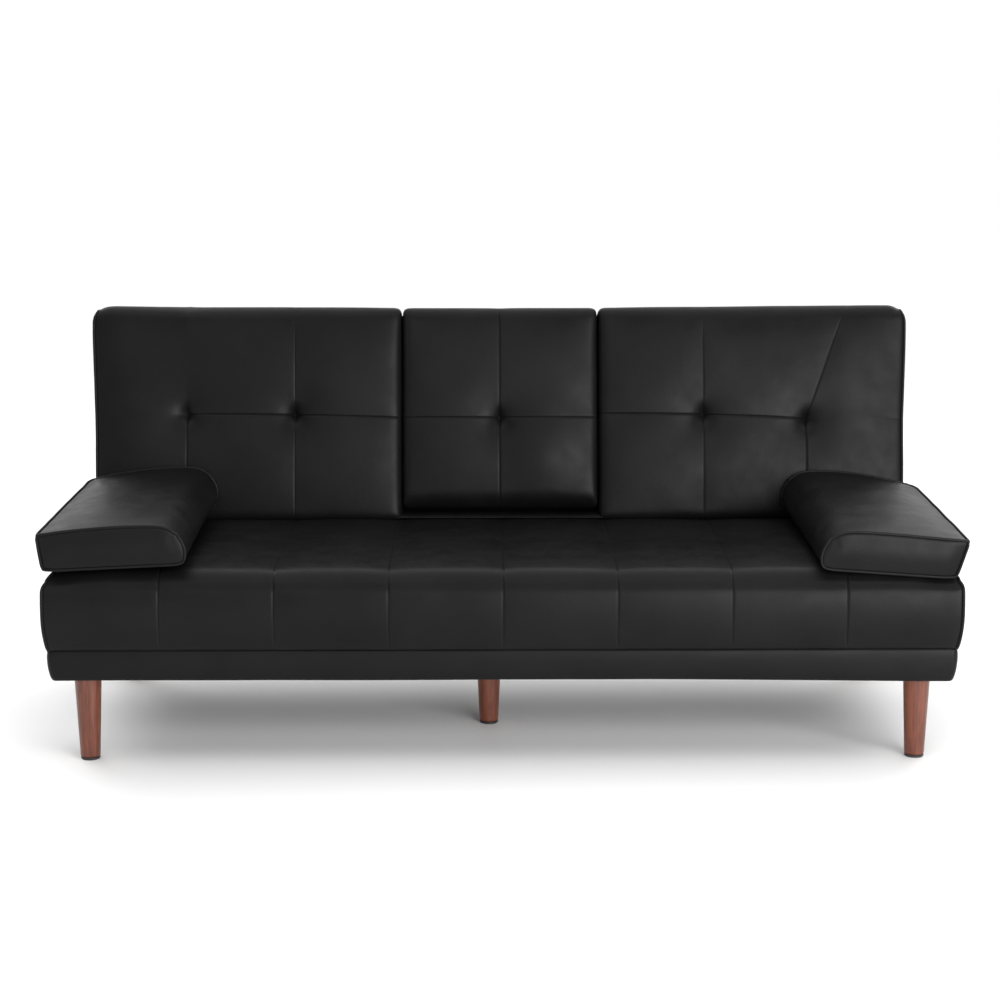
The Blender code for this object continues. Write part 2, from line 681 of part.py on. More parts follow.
def build_pawl(side, s, back):
    """The sprung catch that drops into the ratchet head; its pin turns in the back arm."""
    pin, tip = pawl_place()
    axis = add_empty(f"pawl_axis_{side}", (0, pin[0], pin[1]), parent=back)
    outline = teardrop(0.0058, (tip[0] - pin[0], tip[1] - pin[1]), 0.0014)
    pawl = as_mesh(plate(f"hinge_pawl_{side}", [outline], mirrored(s, SEAT_ARM_X), STEEL, parent=axis))
    stub_x = mirrored(s, (BACK_ARM_X[0] - 0.001, SEAT_ARM_X[0] + 0.0015))
    cut(pawl, across(f"pawl_pin_{side}", 0.0029, stub_x, 0, 0, axis), "UNION")


def build_rivet(side, s):
    inner, outer = BACK_ARM_X[0] - 0.0004, SEAT_ARM_X[1] + 0.0004
    head_r, head = 0.0090, 0.0022
    profile = [(0.0, outer + head), (head_r - 0.001, outer + head), (head_r, outer + head - 0.001),
               (head_r, outer), (RIVET_R, outer), (RIVET_R, inner), (head_r, inner),
               (head_r, inner - head + 0.001), (head_r - 0.001, inner - head), (0.0, inner - head)]
    turned(f"hinge_rivet_{side}", profile, STEEL, (0, PIVOT_Y, PIVOT_Z), steps=20,
           rotation=(0, s * math.pi / 2, 0))


# ---------------------------------------------------------------- arm pillows
def build_pillow(side, s):
    """A long pad with a square outer edge and a round inner edge, tilted down outwards."""
    radius = PILLOW_HIGH / 2
    ease = 0.008
    outline = arc((-PILLOW_WIDE + radius, radius), radius, 90, 270, 13)
    outline += arc((-ease, ease), ease, -90, 0, 3)
    outline += arc((-ease, PILLOW_HIGH - ease), ease, 0, 90, 3)
    outline = [(s * x, z) for x, z in outline]
    name = f"arm_pillow_{side}"
    pillow = add_object(name, flat_curve(name, [outline], PILLOW_REAR - PILLOW_FRONT), LEATHER)
    pillow.rotation_euler = (math.pi / 2, s * PILLOW_TILT[side], 0)
    pillow.location = (s * PILLOW_OUTER_X, (PILLOW_FRONT + PILLOW_REAR) / 2, PILLOW_OUTER_Z)


# ---------------------------------------------------------------- the sofa
def build_sofa():
    build_boards()
    build_leg_blocks()
    build_legs()
    build_plinth_covers()
    build_dust_cover()
    build_springs()
    build_seat_cushion()
    back = back_axes()
    build_back_frame(back)
    build_back_cushions(back)
    build_rear_cover(back)
    build_console(back)
    build_console_brackets(back)
    for side, s in SIDES.items():
        build_seat_arm(side, s)
        build_back_arm(side, s, back)
        build_pawl(side, s, back)
        build_rivet(side, s)
        build_pillow(side, s)
    bpy.context.view_layer.update()


build_sofa()
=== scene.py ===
"""The looks of the futon sofa bed: upholstery, piping, linings, finishes, light and camera.

Every cover starts as a closed grid on a box, is rounded corner by corner, swells as cloth between
its sewn points, and gets its seams last. Metres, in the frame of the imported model.
"""

import math

import bmesh
import bpy
import numpy as np
from mathutils import Matrix, Vector, noise


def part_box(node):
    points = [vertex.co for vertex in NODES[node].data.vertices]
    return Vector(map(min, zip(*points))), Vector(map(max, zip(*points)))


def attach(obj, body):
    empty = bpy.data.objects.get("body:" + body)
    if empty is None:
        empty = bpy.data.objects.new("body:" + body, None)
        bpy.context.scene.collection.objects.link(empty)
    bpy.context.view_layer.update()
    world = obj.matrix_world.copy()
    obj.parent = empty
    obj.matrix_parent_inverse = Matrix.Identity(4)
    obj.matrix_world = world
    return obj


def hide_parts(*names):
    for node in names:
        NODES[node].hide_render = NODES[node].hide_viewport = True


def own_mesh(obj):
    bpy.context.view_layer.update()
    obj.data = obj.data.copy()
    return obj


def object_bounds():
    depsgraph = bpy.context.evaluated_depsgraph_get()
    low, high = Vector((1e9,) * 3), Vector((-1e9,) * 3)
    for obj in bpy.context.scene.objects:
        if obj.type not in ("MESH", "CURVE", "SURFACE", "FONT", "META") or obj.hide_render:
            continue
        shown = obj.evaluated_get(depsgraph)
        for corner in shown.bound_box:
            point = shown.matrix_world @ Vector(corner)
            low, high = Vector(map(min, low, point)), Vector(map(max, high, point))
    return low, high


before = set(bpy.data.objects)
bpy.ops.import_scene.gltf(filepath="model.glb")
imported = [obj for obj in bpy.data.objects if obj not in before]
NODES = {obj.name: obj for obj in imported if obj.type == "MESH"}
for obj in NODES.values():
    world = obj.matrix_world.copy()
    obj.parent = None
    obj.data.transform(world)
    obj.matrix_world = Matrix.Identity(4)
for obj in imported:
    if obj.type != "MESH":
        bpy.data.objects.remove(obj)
CAD_LOW, CAD_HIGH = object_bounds()
SIDES = {"left": -1, "right": 1}

# ---------------------------------------------------------------- sizes
LEAN = math.radians(14)             # backrest from the vertical
GRID = 0.0115                       # between the points of a cover
SEAM_FINE = (0.0009, 0.0026, 0.0058)    # closer grid lines on each side of a seam

SEAT_PANEL = 0.216                  # pitch of the seat's seams
SEAT_TUFT_DEPTH = 0.288             # of the tuft row behind the front edge
SEAT_END_INSET = 0.0085             # leather pulled in at the ends of the foam
SEAT_FRONT_R = 0.046                # of the rolled front edge
SEAT_BELLY_Z = 0.292                # height where the front face stands out most
SEAT_DROP = {"front": 0.007, "rear": 0.0125, "end": 0.006}
WELT_R = 0.0030
PILLOW_WELT_R = 0.0028
WELT_OUT = 0.0013                   # of the piping's middle from the skin
LINING_THICK = 0.0008

BACK_U0 = 0.006                     # bottom end of the side cushions on the backrest panel
BACK_LOW_U = -0.013                 # where their soft lower edge presses on the seat
BACK_INNER, BACK_OUTER = 0.2082, 0.8530
BACK_TUFTS = {                      # (distance from the middle, height on the panel)
    "left": ((0.433, 0.2105), (0.660, 0.2120)),
    "right": ((0.430, 0.2105), (0.647, 0.2010)),
}
BACK_SEAM_U = 0.208                 # grid line of the cross seam, before it dips and rises
BACK_SEAM_INNER_U = {"left": 0.2045, "right": 0.2130}
BACK_INNER_SEAM = {"left": 0.0008, "right": 0.0013}     # depth of the upright seam
CONSOLE_HALF = 0.2062
CONSOLE_LOW_U = 0.012
CONSOLE_END_R = 0.0375              # its lower end is a half-round about the fold
CONSOLE_AXIS = (0.038, 0.050)       # of its fold, on the backrest panel
CONSOLE_TUFT = (-0.001, 0.2045)
SILL_CLEAR = 0.0445                 # radius round the fold that the sill keeps free
SLEEVE_SKIN = 0.0016
LEG_HOLE_R = 0.0272                 # in the dust lining

# Bottom outer edge at the front and rear: distance from the middle, height, and the slope inwards.
PILLOW_EDGE = {
    "left": ((0.8650, 0.3787, 2.6), (0.8490, 0.3896, 4.4)),
    "right": ((0.8530, 0.3610, 4.1), (0.8470, 0.3727, 5.0)),
}
PILLOW_FLARE = {"left": 0.005, "right": 0.017}      # of the top outer edge over the bottom one
PILLOW_CROWN = {"left": (0.007, 0.010), "right": (0.003, 0.012)}
PILLOW_WIDE = {"left": 0.272, "right": 0.259}
PILLOW_TAPER = {"left": 0.05, "right": 0.0}         # share of its width lost towards the rear
PILLOW_TALL = {"left": 0.070, "right": 0.073}

CAMERA_DISTANCE = 4.109             # in front of the seat's front face
CAMERA_HIGH = 1.291
CAMERA_ACROSS = -0.050
CAMERA_DOWN = math.radians(10.70)
CAMERA_TURN = math.radians(-0.605)
LENS = 81.0


# ---------------------------------------------------------------- shader helpers
class Shader:
    """A Principled material and short ways to add nodes to it."""

    def __init__(self, name, roughness, metallic=0.0, **sockets):
        self.material = bpy.data.materials.new(name)
        self.material.use_nodes = True
        self.tree = self.material.node_tree
        self.surface = self.tree.nodes["Principled BSDF"]
        self.surface.inputs["Roughness"].default_value = roughness
        self.surface.inputs["Metallic"].default_value = metallic
        for socket, value in sockets.items():
            self.surface.inputs[socket.replace("_", " ")].default_value = value

    def node(self, kind, **values):
        made = self.tree.nodes.new(kind)
        for key, value in values.items():
            if key in made.inputs:
                made.inputs[key].default_value = value
            else:
                setattr(made, key, value)
        return made

    def link(self, output, socket):
        self.tree.links.new(output, socket)

    def position(self, scale=(1, 1, 1)):
        coordinates = self.node("ShaderNodeTexCoord")
        mapping = self.node("ShaderNodeMapping")
        mapping.inputs["Scale"].default_value = scale
        self.link(coordinates.outputs["Object"], mapping.inputs["Vector"])
        return mapping.outputs["Vector"]

    def noise(self, where, scale, detail=3.0, rough=0.5, distortion=0.0):
        made = self.node("ShaderNodeTexNoise", Scale=scale, Detail=detail, Roughness=rough,
                         Distortion=distortion)
        self.link(where, made.inputs["Vector"])
        return made.outputs["Fac"]

    def cells(self, where, scale, feature="F1"):
        made = self.node("ShaderNodeTexVoronoi", Scale=scale, feature=feature)
        self.link(where, made.inputs["Vector"])
        return made.outputs["Distance"]

    def span(self, value, low, high, to_low, to_high):
        made = self.node("ShaderNodeMapRange")
        made.inputs["From Min"].default_value = low
        made.inputs["From Max"].default_value = high
        made.inputs["To Min"].default_value = to_low
        made.inputs["To Max"].default_value = to_high
        self.link(value, made.inputs["Value"])
        return made.outputs["Result"]

    def ramp(self, value, *stops):
        made = self.node("ShaderNodeValToRGB")
        elements = made.color_ramp.elements
        while len(elements) < len(stops):
            elements.new(0.5)
        for element, (place, colour) in zip(elements, stops):
            element.position = place
            element.color = (*colour, 1.0)
        self.link(value, made.inputs["Fac"])
        return made.outputs["Color"]

    def bump(self, height, distance, strength=1.0, under=None):
        made = self.node("ShaderNodeBump", Strength=strength, Distance=distance)
        self.link(height, made.inputs["Height"])
        if under:
            self.link(under, made.inputs["Normal"])
        return made.outputs["Normal"]

    def edges(self):
        return self.node("ShaderNodeNewGeometry").outputs["Pointiness"]

    def finish(self, colour=None, roughness=None, normal=None):
        for output, socket in ((colour, "Base Color"), (roughness, "Roughness"),
                               (normal, "Normal")):
            if output:
                self.link(output, self.surface.inputs[socket])
        return self.material


# ---------------------------------------------------------------- materials
def leather(name, tone=1.0):
    """Black polyurethane leather: fine pebbles, soft creases, and a satin coat worn at edges."""
    s = Shader(name, 0.46, Specular_IOR_Level=0.118)
    where = s.position()
    pebbles = s.cells(where, 620.0)
    creases = s.noise(where, 95.0, detail=6.0, rough=0.62, distortion=0.6)
    drift = s.noise(where, 7.0, detail=3.0)
    normal = s.bump(s.span(pebbles, 0.0, 0.9, 1.0, 0.0), 0.00016, 0.45)
    normal = s.bump(creases, 0.0010, 0.22, normal)
    normal = s.bump(drift, 0.012, 0.06, normal)
    dark, light = 0.0036 * tone, 0.0060 * tone
    colour = s.ramp(drift, (0.30, (dark, dark, dark * 1.06)),
                    (0.72, (light, light * 1.01, light * 1.05)))
    worn = s.span(s.edges(), 0.50, 0.62, 0.0, 0.5)
    mix = s.node("ShaderNodeMix", data_type="RGBA")
    s.link(worn, mix.inputs["Factor"])
    s.link(colour, mix.inputs["A"])
    mix.inputs["B"].default_value = (0.017, 0.017, 0.018, 1)
    roughness = s.span(s.noise(where, 26.0, detail=4.0), 0.3, 0.7, 0.36, 0.47)
    return s.finish(mix.outputs["Result"], roughness, normal)


def walnut():
    """Turned beech, stained red-brown, its grain running down the leg under a thin lacquer."""
    s = Shader("walnut_stained_wood", 0.36, Coat_Weight=0.15, Coat_Roughness=0.25)
    where = s.position((1, 1, 0.07))
    grain = s.noise(where, 150.0, detail=6.0, rough=0.65, distortion=1.2)
    bands = s.noise(where, 34.0, detail=3.0, rough=0.5, distortion=2.0)
    mix = s.node("ShaderNodeMix", data_type="FLOAT")
    mix.inputs["Factor"].default_value = 0.45
    s.link(grain, mix.inputs["A"])
    s.link(bands, mix.inputs["B"])
    value = mix.outputs["Result"]
    colour = s.ramp(value, (0.34, (0.062, 0.0125, 0.0045)), (0.50, (0.128, 0.030, 0.0115)),
                    (0.66, (0.205, 0.056, 0.023)))
    pores = s.noise(s.position((1, 1, 0.03)), 420.0, detail=2.0)
    normal = s.bump(pores, 0.0002, 0.25)
    return s.finish(colour, s.span(value, 0.3, 0.7, 0.30, 0.42), normal)


def pine(name, grain_axis):
    """Planed softwood; grain_axis is 0, 1 or 2, the axis that the grain runs along."""
    scale = [1.0, 1.0, 1.0]
    scale[grain_axis] = 0.05
    s = Shader(name, 0.62)
    where = s.position(tuple(scale))
    rings = s.noise(where, 55.0, detail=4.0, rough=0.55, distortion=1.5)
    colour = s.ramp(rings, (0.35, (0.68, 0.49, 0.29)), (0.55, (0.60, 0.40, 0.21)),
                    (0.70, (0.47, 0.29, 0.14)))
    fibres = s.noise(where, 600.0, detail=3.0)
    return s.finish(colour, s.span(rings, 0.3, 0.7, 0.55, 0.70), s.bump(fibres, 0.0003, 0.4))


def nonwoven():
    """Black spun-bonded lining: matted fibres and a dotted bond pattern."""
    s = Shader("black_spunbond", 0.88, Sheen_Weight=0.12, Sheen_Roughness=0.6)
    where = s.position()
    fibres = s.noise(where, 900.0, detail=5.0, rough=0.7, distortion=3.0)
    dots = s.cells(where, 330.0)
    normal = s.bump(fibres, 0.0003, 0.5)
    normal = s.bump(s.span(dots, 0.05, 0.35, 0.0, 1.0), 0.0003, 0.5, normal)
    patches = s.noise(where, 9.0, detail=5.0)
    colour = s.ramp(patches, (0.3, (0.010, 0.010, 0.010)), (0.7, (0.020, 0.020, 0.021)))
    return s.finish(colour, s.span(fibres, 0.3, 0.7, 0.82, 0.95), normal)


def plastic(name, tone=1.0):
    """Moulded black plastic with a spark-eroded texture."""
    s = Shader(name, 0.36)
    where = s.position()
    grit = s.noise(where, 1400.0, detail=2.0)
    smear = s.noise(where, 30.0, detail=3.0)
    colour = s.ramp(smear, (0.3, (0.012 * tone,) * 3), (0.7, (0.019 * tone,) * 3))
    return s.finish(colour, s.span(smear, 0.3, 0.7, 0.30, 0.44), s.bump(grit, 0.00008, 0.5))


def steel(name, tone, roughness):
    """Plated or drawn steel with fine rubs and dull patches."""
    s = Shader(name, roughness, metallic=1.0)
    where = s.position()
    patches = s.noise(where, 70.0, detail=5.0, rough=0.6)
    dull = (0.86 * tone, 0.87 * tone, 0.90 * tone)
    colour = s.ramp(patches, (0.3, dull), (0.7, (tone, tone, tone)))
    rubs = s.noise(s.position((1, 0.1, 1)), 500.0, detail=2.0)
    spread = s.span(patches, 0.3, 0.7, roughness - 0.06, roughness + 0.12)
    return s.finish(colour, spread, s.bump(rubs, 0.00005, 0.4))


def floor_finish():
    s = Shader("pale_floor", 0.6)
    tone = s.noise(s.position(), 1.2, detail=2.0)
    colour = s.ramp(tone, (0.2, (0.94, 0.94, 0.94)), (0.8, (0.96, 0.96, 0.96)))
    return s.finish(colour)


LEATHER = leather("black_leatherette")
# The piping uses the same leather made a fifth darker. This is painted shade, so the cords read as
# dark lines along the edges.
PIPING_PAINTED_SHADE_LEATHER = leather("black_leatherette_piping_painted_shade", 0.8)
WALNUT = walnut()
PINE_X, PINE_Y, PINE_Z = (pine(f"planed_pine_{axis}", i) for i, axis in enumerate("xyz"))
NONWOVEN = nonwoven()
CUP_PLASTIC = plastic("black_moulded_plastic")
TRAY_PLASTIC = plastic("black_textured_laminate", 1.15)
ZINC = steel("zinc_plated_steel", 0.62, 0.34)
SPRING_STEEL = steel("drawn_spring_wire", 0.30, 0.38)
BLACK_STEEL = steel("black_oxide_steel", 0.05, 0.45)


def finish_carried_nodes():
    finishes = (
        ("leg_block", PINE_Z), ("leg_", WALNUT), ("foot_pad", CUP_PLASTIC),
        ("cup_holder", CUP_PLASTIC), ("console_tray", TRAY_PLASTIC),
        ("seat_spring", SPRING_STEEL), ("hinge_", ZINC),
        ("console_bracket", BLACK_STEEL), ("recess_panel", NONWOVEN), ("rear_cover", NONWOVEN),
        ("dust_cover", NONWOVEN), ("side_board", PINE_Y), ("centre_rail", PINE_Y),
        ("back_stile", PINE_Z), ("console_frame", PINE_Z), ("front_board", PINE_X),
        ("seat_rear_board", PINE_X), ("base_rear_board", PINE_X), ("back_rail", PINE_X),
    )
    for name, node in NODES.items():
        for start, material in finishes:
            if name.startswith(start):
                node.data.materials.clear()
                node.data.materials.append(material)
                break


# ---------------------------------------------------------------- grids on a box
def grid_lines(low, high, step, seams=()):
    """Places from low to high about a step apart, and closer together on each side of a seam."""
    marks = {low, high}
    for seam in seams:
        marks.add(seam)
        for fine in SEAM_FINE:
            marks.update((seam - fine, seam + fine))
    marks = sorted(mark for mark in marks if low <= mark <= high)
    places = [low]
    for a, b in zip(marks, marks[1:]):
        parts = max(1, round((b - a) / step))
        places += [a + (b - a) * (n + 1) / parts for n in range(parts)]
    return np.array(places)


class Cover:
    """A closed shell of quads on a box grid. points moves; cell keeps each point's grid place."""

    def __init__(self, xs, ys, zs):
        counts = (len(xs), len(ys), len(zs))
        cells = np.stack(np.meshgrid(*(np.arange(n) for n in counts), indexing="ij"), axis=-1)
        last = np.array(counts) - 1
        outside = ((cells == 0) | (cells == last)).any(axis=-1)
        self.index = np.full(counts, -1)
        self.index[outside] = np.arange(outside.sum())
        self.cell = cells[outside]
        self.last = last
        self.points = np.stack([line[self.cell[:, n]] for n, line in enumerate((xs, ys, zs))],
                               axis=1)
        self.flat = self.points.copy()
        i = self.index
        sheets = ((i[0], True), (i[-1], False), (i[:, 0], False), (i[:, -1], True),
                  (i[:, :, 0], True), (i[:, :, -1], False))
        self.quads = np.concatenate([self._quads(*sheet) for sheet in sheets])

    @staticmethod
    def _quads(sheet, flip):
        corners = (sheet[:-1, :-1], sheet[1:, :-1], sheet[1:, 1:], sheet[:-1, 1:])
        quads = np.stack(corners, axis=-1).reshape(-1, 4)
        return quads[:, ::-1] if flip else quads

    def on_side(self, axis, high):
        return self.cell[:, axis] == (self.last[axis] if high else 0)

    def round_corner(self, axes, corner, inward, radius):
        """Turns a square corner, seen along the third axis, into a quarter circle."""
        a, b = axes
        centre = (corner[0] + inward[0] * radius, corner[1] + inward[1] * radius)
        da = (centre[0] - self.points[:, a]) * inward[0]
        db = (centre[1] - self.points[:, b]) * inward[1]
        zone = (da > 0) & (db > 0)
        scale = np.maximum(da, db)[zone] / np.hypot(da, db)[zone]
        self.points[zone, a] = centre[0] - inward[0] * da[zone] * scale
        self.points[zone, b] = centre[1] - inward[1] * db[zone] * scale

    def round_box(self, axes, low, high, radii):
        """radii: at (low, low), (high, low), (high, high), (low, high) of the two axes."""
        corners = ((0, 0), (1, 0), (1, 1), (0, 1))
        for (p, q), radius in zip(corners, radii):
            if radius:
                corner = ((low[0], high[0])[p], (low[1], high[1])[q])
                self.round_corner(axes, corner, (1 - 2 * p, 1 - 2 * q), radius)

    def normals(self):
        p = self.points
        q = self.quads
        across = np.cross(p[q[:, 2]] - p[q[:, 0]], p[q[:, 3]] - p[q[:, 1]])
        total = np.zeros_like(p)
        for corner in range(4):
            np.add.at(total, q[:, corner], across)
        return total / np.maximum(np.linalg.norm(total, axis=1, keepdims=True), 1e-12)

    def push(self, distance):
        """Moves each point along its normal."""
        self.points += self.normals() * distance[:, None]

    def rim(self, axis, high):
        """The ring of points round one side, in order, as indices."""
        sheet = np.take(self.index, -1 if high else 0, axis=axis)
        return np.concatenate([sheet[0, :-1], sheet[:-1, -1], sheet[-1, :0:-1], sheet[:0:-1, 0]])


def smoothstep(value, low, high):
    t = np.clip((value - low) / (high - low), 0, 1)
    return t * t * (3 - 2 * t)


def groove(distance, width):
    return np.exp(-(distance / width) ** 2)


def sewn_line(distance, depth):
    """Depth of a seam: a tight valley between two low rolls."""
    roll = np.exp(-((np.abs(distance) - 0.0034) / 0.0018) ** 2)
    return depth * groove(distance, 0.0010) - 0.10 * depth * roll


def ripple(points, scale, seed):
    """Smooth unevenness from -1 to 1 at each point, the same on every run."""
    shift = Vector((seed * 7.1, seed * 3.3, seed * 1.7))
    return np.array([noise.noise(Vector(p) * scale + shift) for p in points])


# ---------------------------------------------------------------- objects
def add_mesh(name, points, faces, material, smooth=True):
    mesh = bpy.data.meshes.new(name)
    mesh.from_pydata([tuple(p) for p in points], [], [tuple(int(i) for i in f) for f in faces])
    mesh.polygons.foreach_set("use_smooth", [smooth] * len(mesh.polygons))
    mesh.materials.append(material)
    return place_object(name, mesh)


def place_object(name, data):
    obj = bpy.data.objects.new(name, data)
    bpy.context.scene.collection.objects.link(obj)
    return obj


def add_modifier(obj, kind, **values):
    modifier = obj.modifiers.new(kind.lower(), kind)
    for key, value in values.items():
        setattr(modifier, key, value)
    return modifier


def apply_modifiers(obj):
    bpy.context.view_layer.update()
    graph = bpy.context.evaluated_depsgraph_get()
    mesh = bpy.data.meshes.new_from_object(obj.evaluated_get(graph))
    obj.modifiers.clear()
    old = obj.data
    obj.data = mesh
    bpy.data.meshes.remove(old)


def subdivide(obj):
    add_modifier(obj, "SUBSURF", levels=1, render_levels=1)


def cut_away(obj, cutter):
    """Takes the cutter's shape out of the piece, and the cutter out of the scene."""
    add_modifier(obj, "BOOLEAN", object=cutter, operation="DIFFERENCE", solver="EXACT")
    apply_modifiers(obj)
    bpy.data.objects.remove(cutter, do_unlink=True)


def cut_box(obj, low, high, turn=None):
    """Cuts a box-shaped slot, after everything else has shaped the piece."""
    body = bmesh.new()
    bmesh.ops.create_cube(body, size=1.0)
    size = [b - a for a, b in zip(low, high)]
    bmesh.ops.scale(body, vec=size, verts=body.verts)
    bmesh.ops.translate(body, vec=[(a + b) / 2 for a, b in zip(low, high)], verts=body.verts)
    mesh = bpy.data.meshes.new("slot")
    body.to_mesh(mesh)
    body.free()
    mesh.materials.append(obj.data.materials[0])
    cutter = place_object("slot", mesh)
    if turn:
        cutter.matrix_world = turn.to_4x4()
    cut_away(obj, cutter)


def smooth_path(points, closed, step=0.004):
    """A Catmull-Rom curve through the points, resampled evenly."""
    points = np.asarray(points, float)
    count = len(points)
    rows = []
    spans = count if closed else count - 1
    for n in range(spans):
        if closed:
            p = [points[(n + k) % count] for k in (-1, 0, 1, 2)]
        else:
            p = [points[min(max(n + k, 0), count - 1)] for k in (-1, 0, 1, 2)]
        parts = max(1, int(np.linalg.norm(p[2] - p[1]) / step))
        for t in np.arange(parts) / parts:
            rows.append(0.5 * (2 * p[1] + (p[2] - p[0]) * t
                               + (2 * p[0] - 5 * p[1] + 4 * p[2] - p[3]) * t ** 2
                               + (3 * p[1] - p[0] - 3 * p[2] + p[3]) * t ** 3))
    if not closed:
        rows.append(points[-1])
    return np.array(rows)


def run_along(ring, first, second):
    """A ring's points in order, from the one where first holds, towards where second holds."""
    ordered = np.roll(ring, -np.flatnonzero(first[ring])[0])
    return ordered if second[ordered[1]] else np.concatenate([ordered[:1], ordered[:0:-1]])


def add_welt(name, points, radius, body, closed=False):
    """Piping: a leather-covered cord sewn into an edge."""
    path = smooth_path(points, closed)
    curve = bpy.data.curves.new(name, "CURVE")
    curve.dimensions = "3D"
    curve.bevel_depth = radius
    curve.bevel_resolution = 3
    curve.use_fill_caps = True
    spline = curve.splines.new("POLY")
    spline.points.add(len(path) - 1)
    for point, place in zip(spline.points, path):
        point.co = (*place, 1.0)
    spline.use_cyclic_u = closed
    # Painted shade: the cord takes the darkened copy of the leather.
    curve.materials.append(PIPING_PAINTED_SHADE_LEATHER)
    obj = place_object(name, curve)
    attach(obj, body)


# ---------------------------------------------------------------- cloth
CLOTH = {"quality": 4, "mass": 0.35, "tension_stiffness": 25, "compression_stiffness": 25,
         "shear_stiffness": 12, "bending_stiffness": 1.2, "use_pressure": True}


def swell(obj, sewn, pressure, spare, most, frames=16):
    """Lets a cover swell and pucker as cloth between its sewn points, then keeps that shape."""
    group = obj.vertex_groups.new(name="sewn")
    for level in np.unique(np.round(sewn, 1)):
        if level > 0:
            held = np.flatnonzero(np.round(sewn, 1) == level)
            group.add([int(i) for i in held], float(level), "REPLACE")
    scene = bpy.context.scene
    scene.frame_set(1)
    modifier = add_modifier(obj, "CLOTH")
    settings = modifier.settings
    for key, value in CLOTH.items():
        setattr(settings, key, value)
    settings.uniform_pressure_force = pressure
    settings.vertex_group_mass = "sewn"
    settings.shrink_min = -spare
    settings.effector_weights.gravity = 0
    modifier.collision_settings.use_collision = False
    modifier.point_cache.frame_start = 1
    modifier.point_cache.frame_end = frames
    for number in range(1, frames + 1):
        scene.frame_set(number)
    graph = bpy.context.evaluated_depsgraph_get()
    result = obj.evaluated_get(graph).to_mesh()
    old = mesh_points(obj.data)
    moved = mesh_points(result) - old
    length = np.linalg.norm(moved, axis=1, keepdims=True)
    moved *= np.minimum(1, most / np.maximum(length, 1e-9))
    moved = calmed(moved, obj.data, 12)
    obj.modifiers.remove(modifier)
    obj.vertex_groups.remove(group)
    write_points(obj, old + moved)
    scene.frame_set(1)


def calmed(moved, mesh, rounds):
    """Averages each point's move with its neighbours', the nearest most: small wrinkles go."""
    edges = np.empty(len(mesh.edges) * 2, int)
    mesh.edges.foreach_get("vertices", edges)
    a, b = edges.reshape(-1, 2).T
    co = mesh_points(mesh)
    near = 1 / np.maximum(np.linalg.norm(co[a] - co[b], axis=1), 0.0005)[:, None]
    around = np.zeros((len(moved), 1))
    np.add.at(around, a, near)
    np.add.at(around, b, near)
    for _ in range(rounds):
        total = np.zeros_like(moved)
        np.add.at(total, a, moved[b] * near)
        np.add.at(total, b, moved[a] * near)
        moved = (moved + total / around) / 2
    return moved


def mesh_points(mesh):
    co = np.empty(len(mesh.vertices) * 3)
    mesh.vertices.foreach_get("co", co)
    return co.reshape(-1, 3)


def write_points(obj, points):
    obj.data.vertices.foreach_set("co", np.asarray(points).ravel())
    obj.data.update()


def make_cushion(name, cover, sewn, seams, nodes, body, pressure, spare, most, mirror=False,
                 place=None):
    """Cover to object: world place, cloth, then the sewn grooves.

    Afterwards cover.points lie on the smoothed skin and a little out of it, for the piping.
    """
    if mirror:
        cover.points[:, 0] *= -1
        cover.quads = cover.quads[:, ::-1]
    if place is not None:
        cover.points = place(cover.points)
    obj = add_mesh(name, cover.points, cover.quads, LEATHER)
    swell(obj, sewn, pressure, spare, most)
    cover.points = mesh_points(obj.data)
    cover.push(-seams)
    write_points(obj, cover.points)
    subdivide(obj)
    bpy.context.view_layer.update()
    smooth = obj.evaluated_get(bpy.context.evaluated_depsgraph_get()).data
    cover.points = np.array([vert.co[:] for vert in smooth.vertices[:len(cover.points)]])
    cover.push(np.full(len(cover.points), WELT_OUT))
    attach(obj, body)
    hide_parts(*nodes)
    return obj


def hinge_slot(s):
    """The two ends, from left to right, of the slot that one side's hinge needs in a cushion."""
    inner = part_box("hinge_back_arm_right")[0].x - 0.0045
    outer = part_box("hinge_seat_arm_right")[1].x + 0.005
    return sorted((s * inner, s * outer))


# ---------------------------------------------------------------- seat
def seat_height(x, y):
    """Top of the seat's cover: crowned in the middle, rolled over at the front."""
    low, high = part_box("seat_cushion")
    across = np.clip((y - low.y) / (high.y - low.y), 0, 1)
    drop = np.where(across < 0.5, SEAT_DROP["front"], SEAT_DROP["rear"])
    z = high.z - drop * (1 - np.sin(np.pi * across) ** 0.8)
    z = z - SEAT_DROP["end"] * smoothstep(np.abs(x), 0.74, high.x)
    over = np.clip(low.y + SEAT_FRONT_R - y, 0, SEAT_FRONT_R)
    return z - (SEAT_FRONT_R - np.sqrt(SEAT_FRONT_R ** 2 - over ** 2))


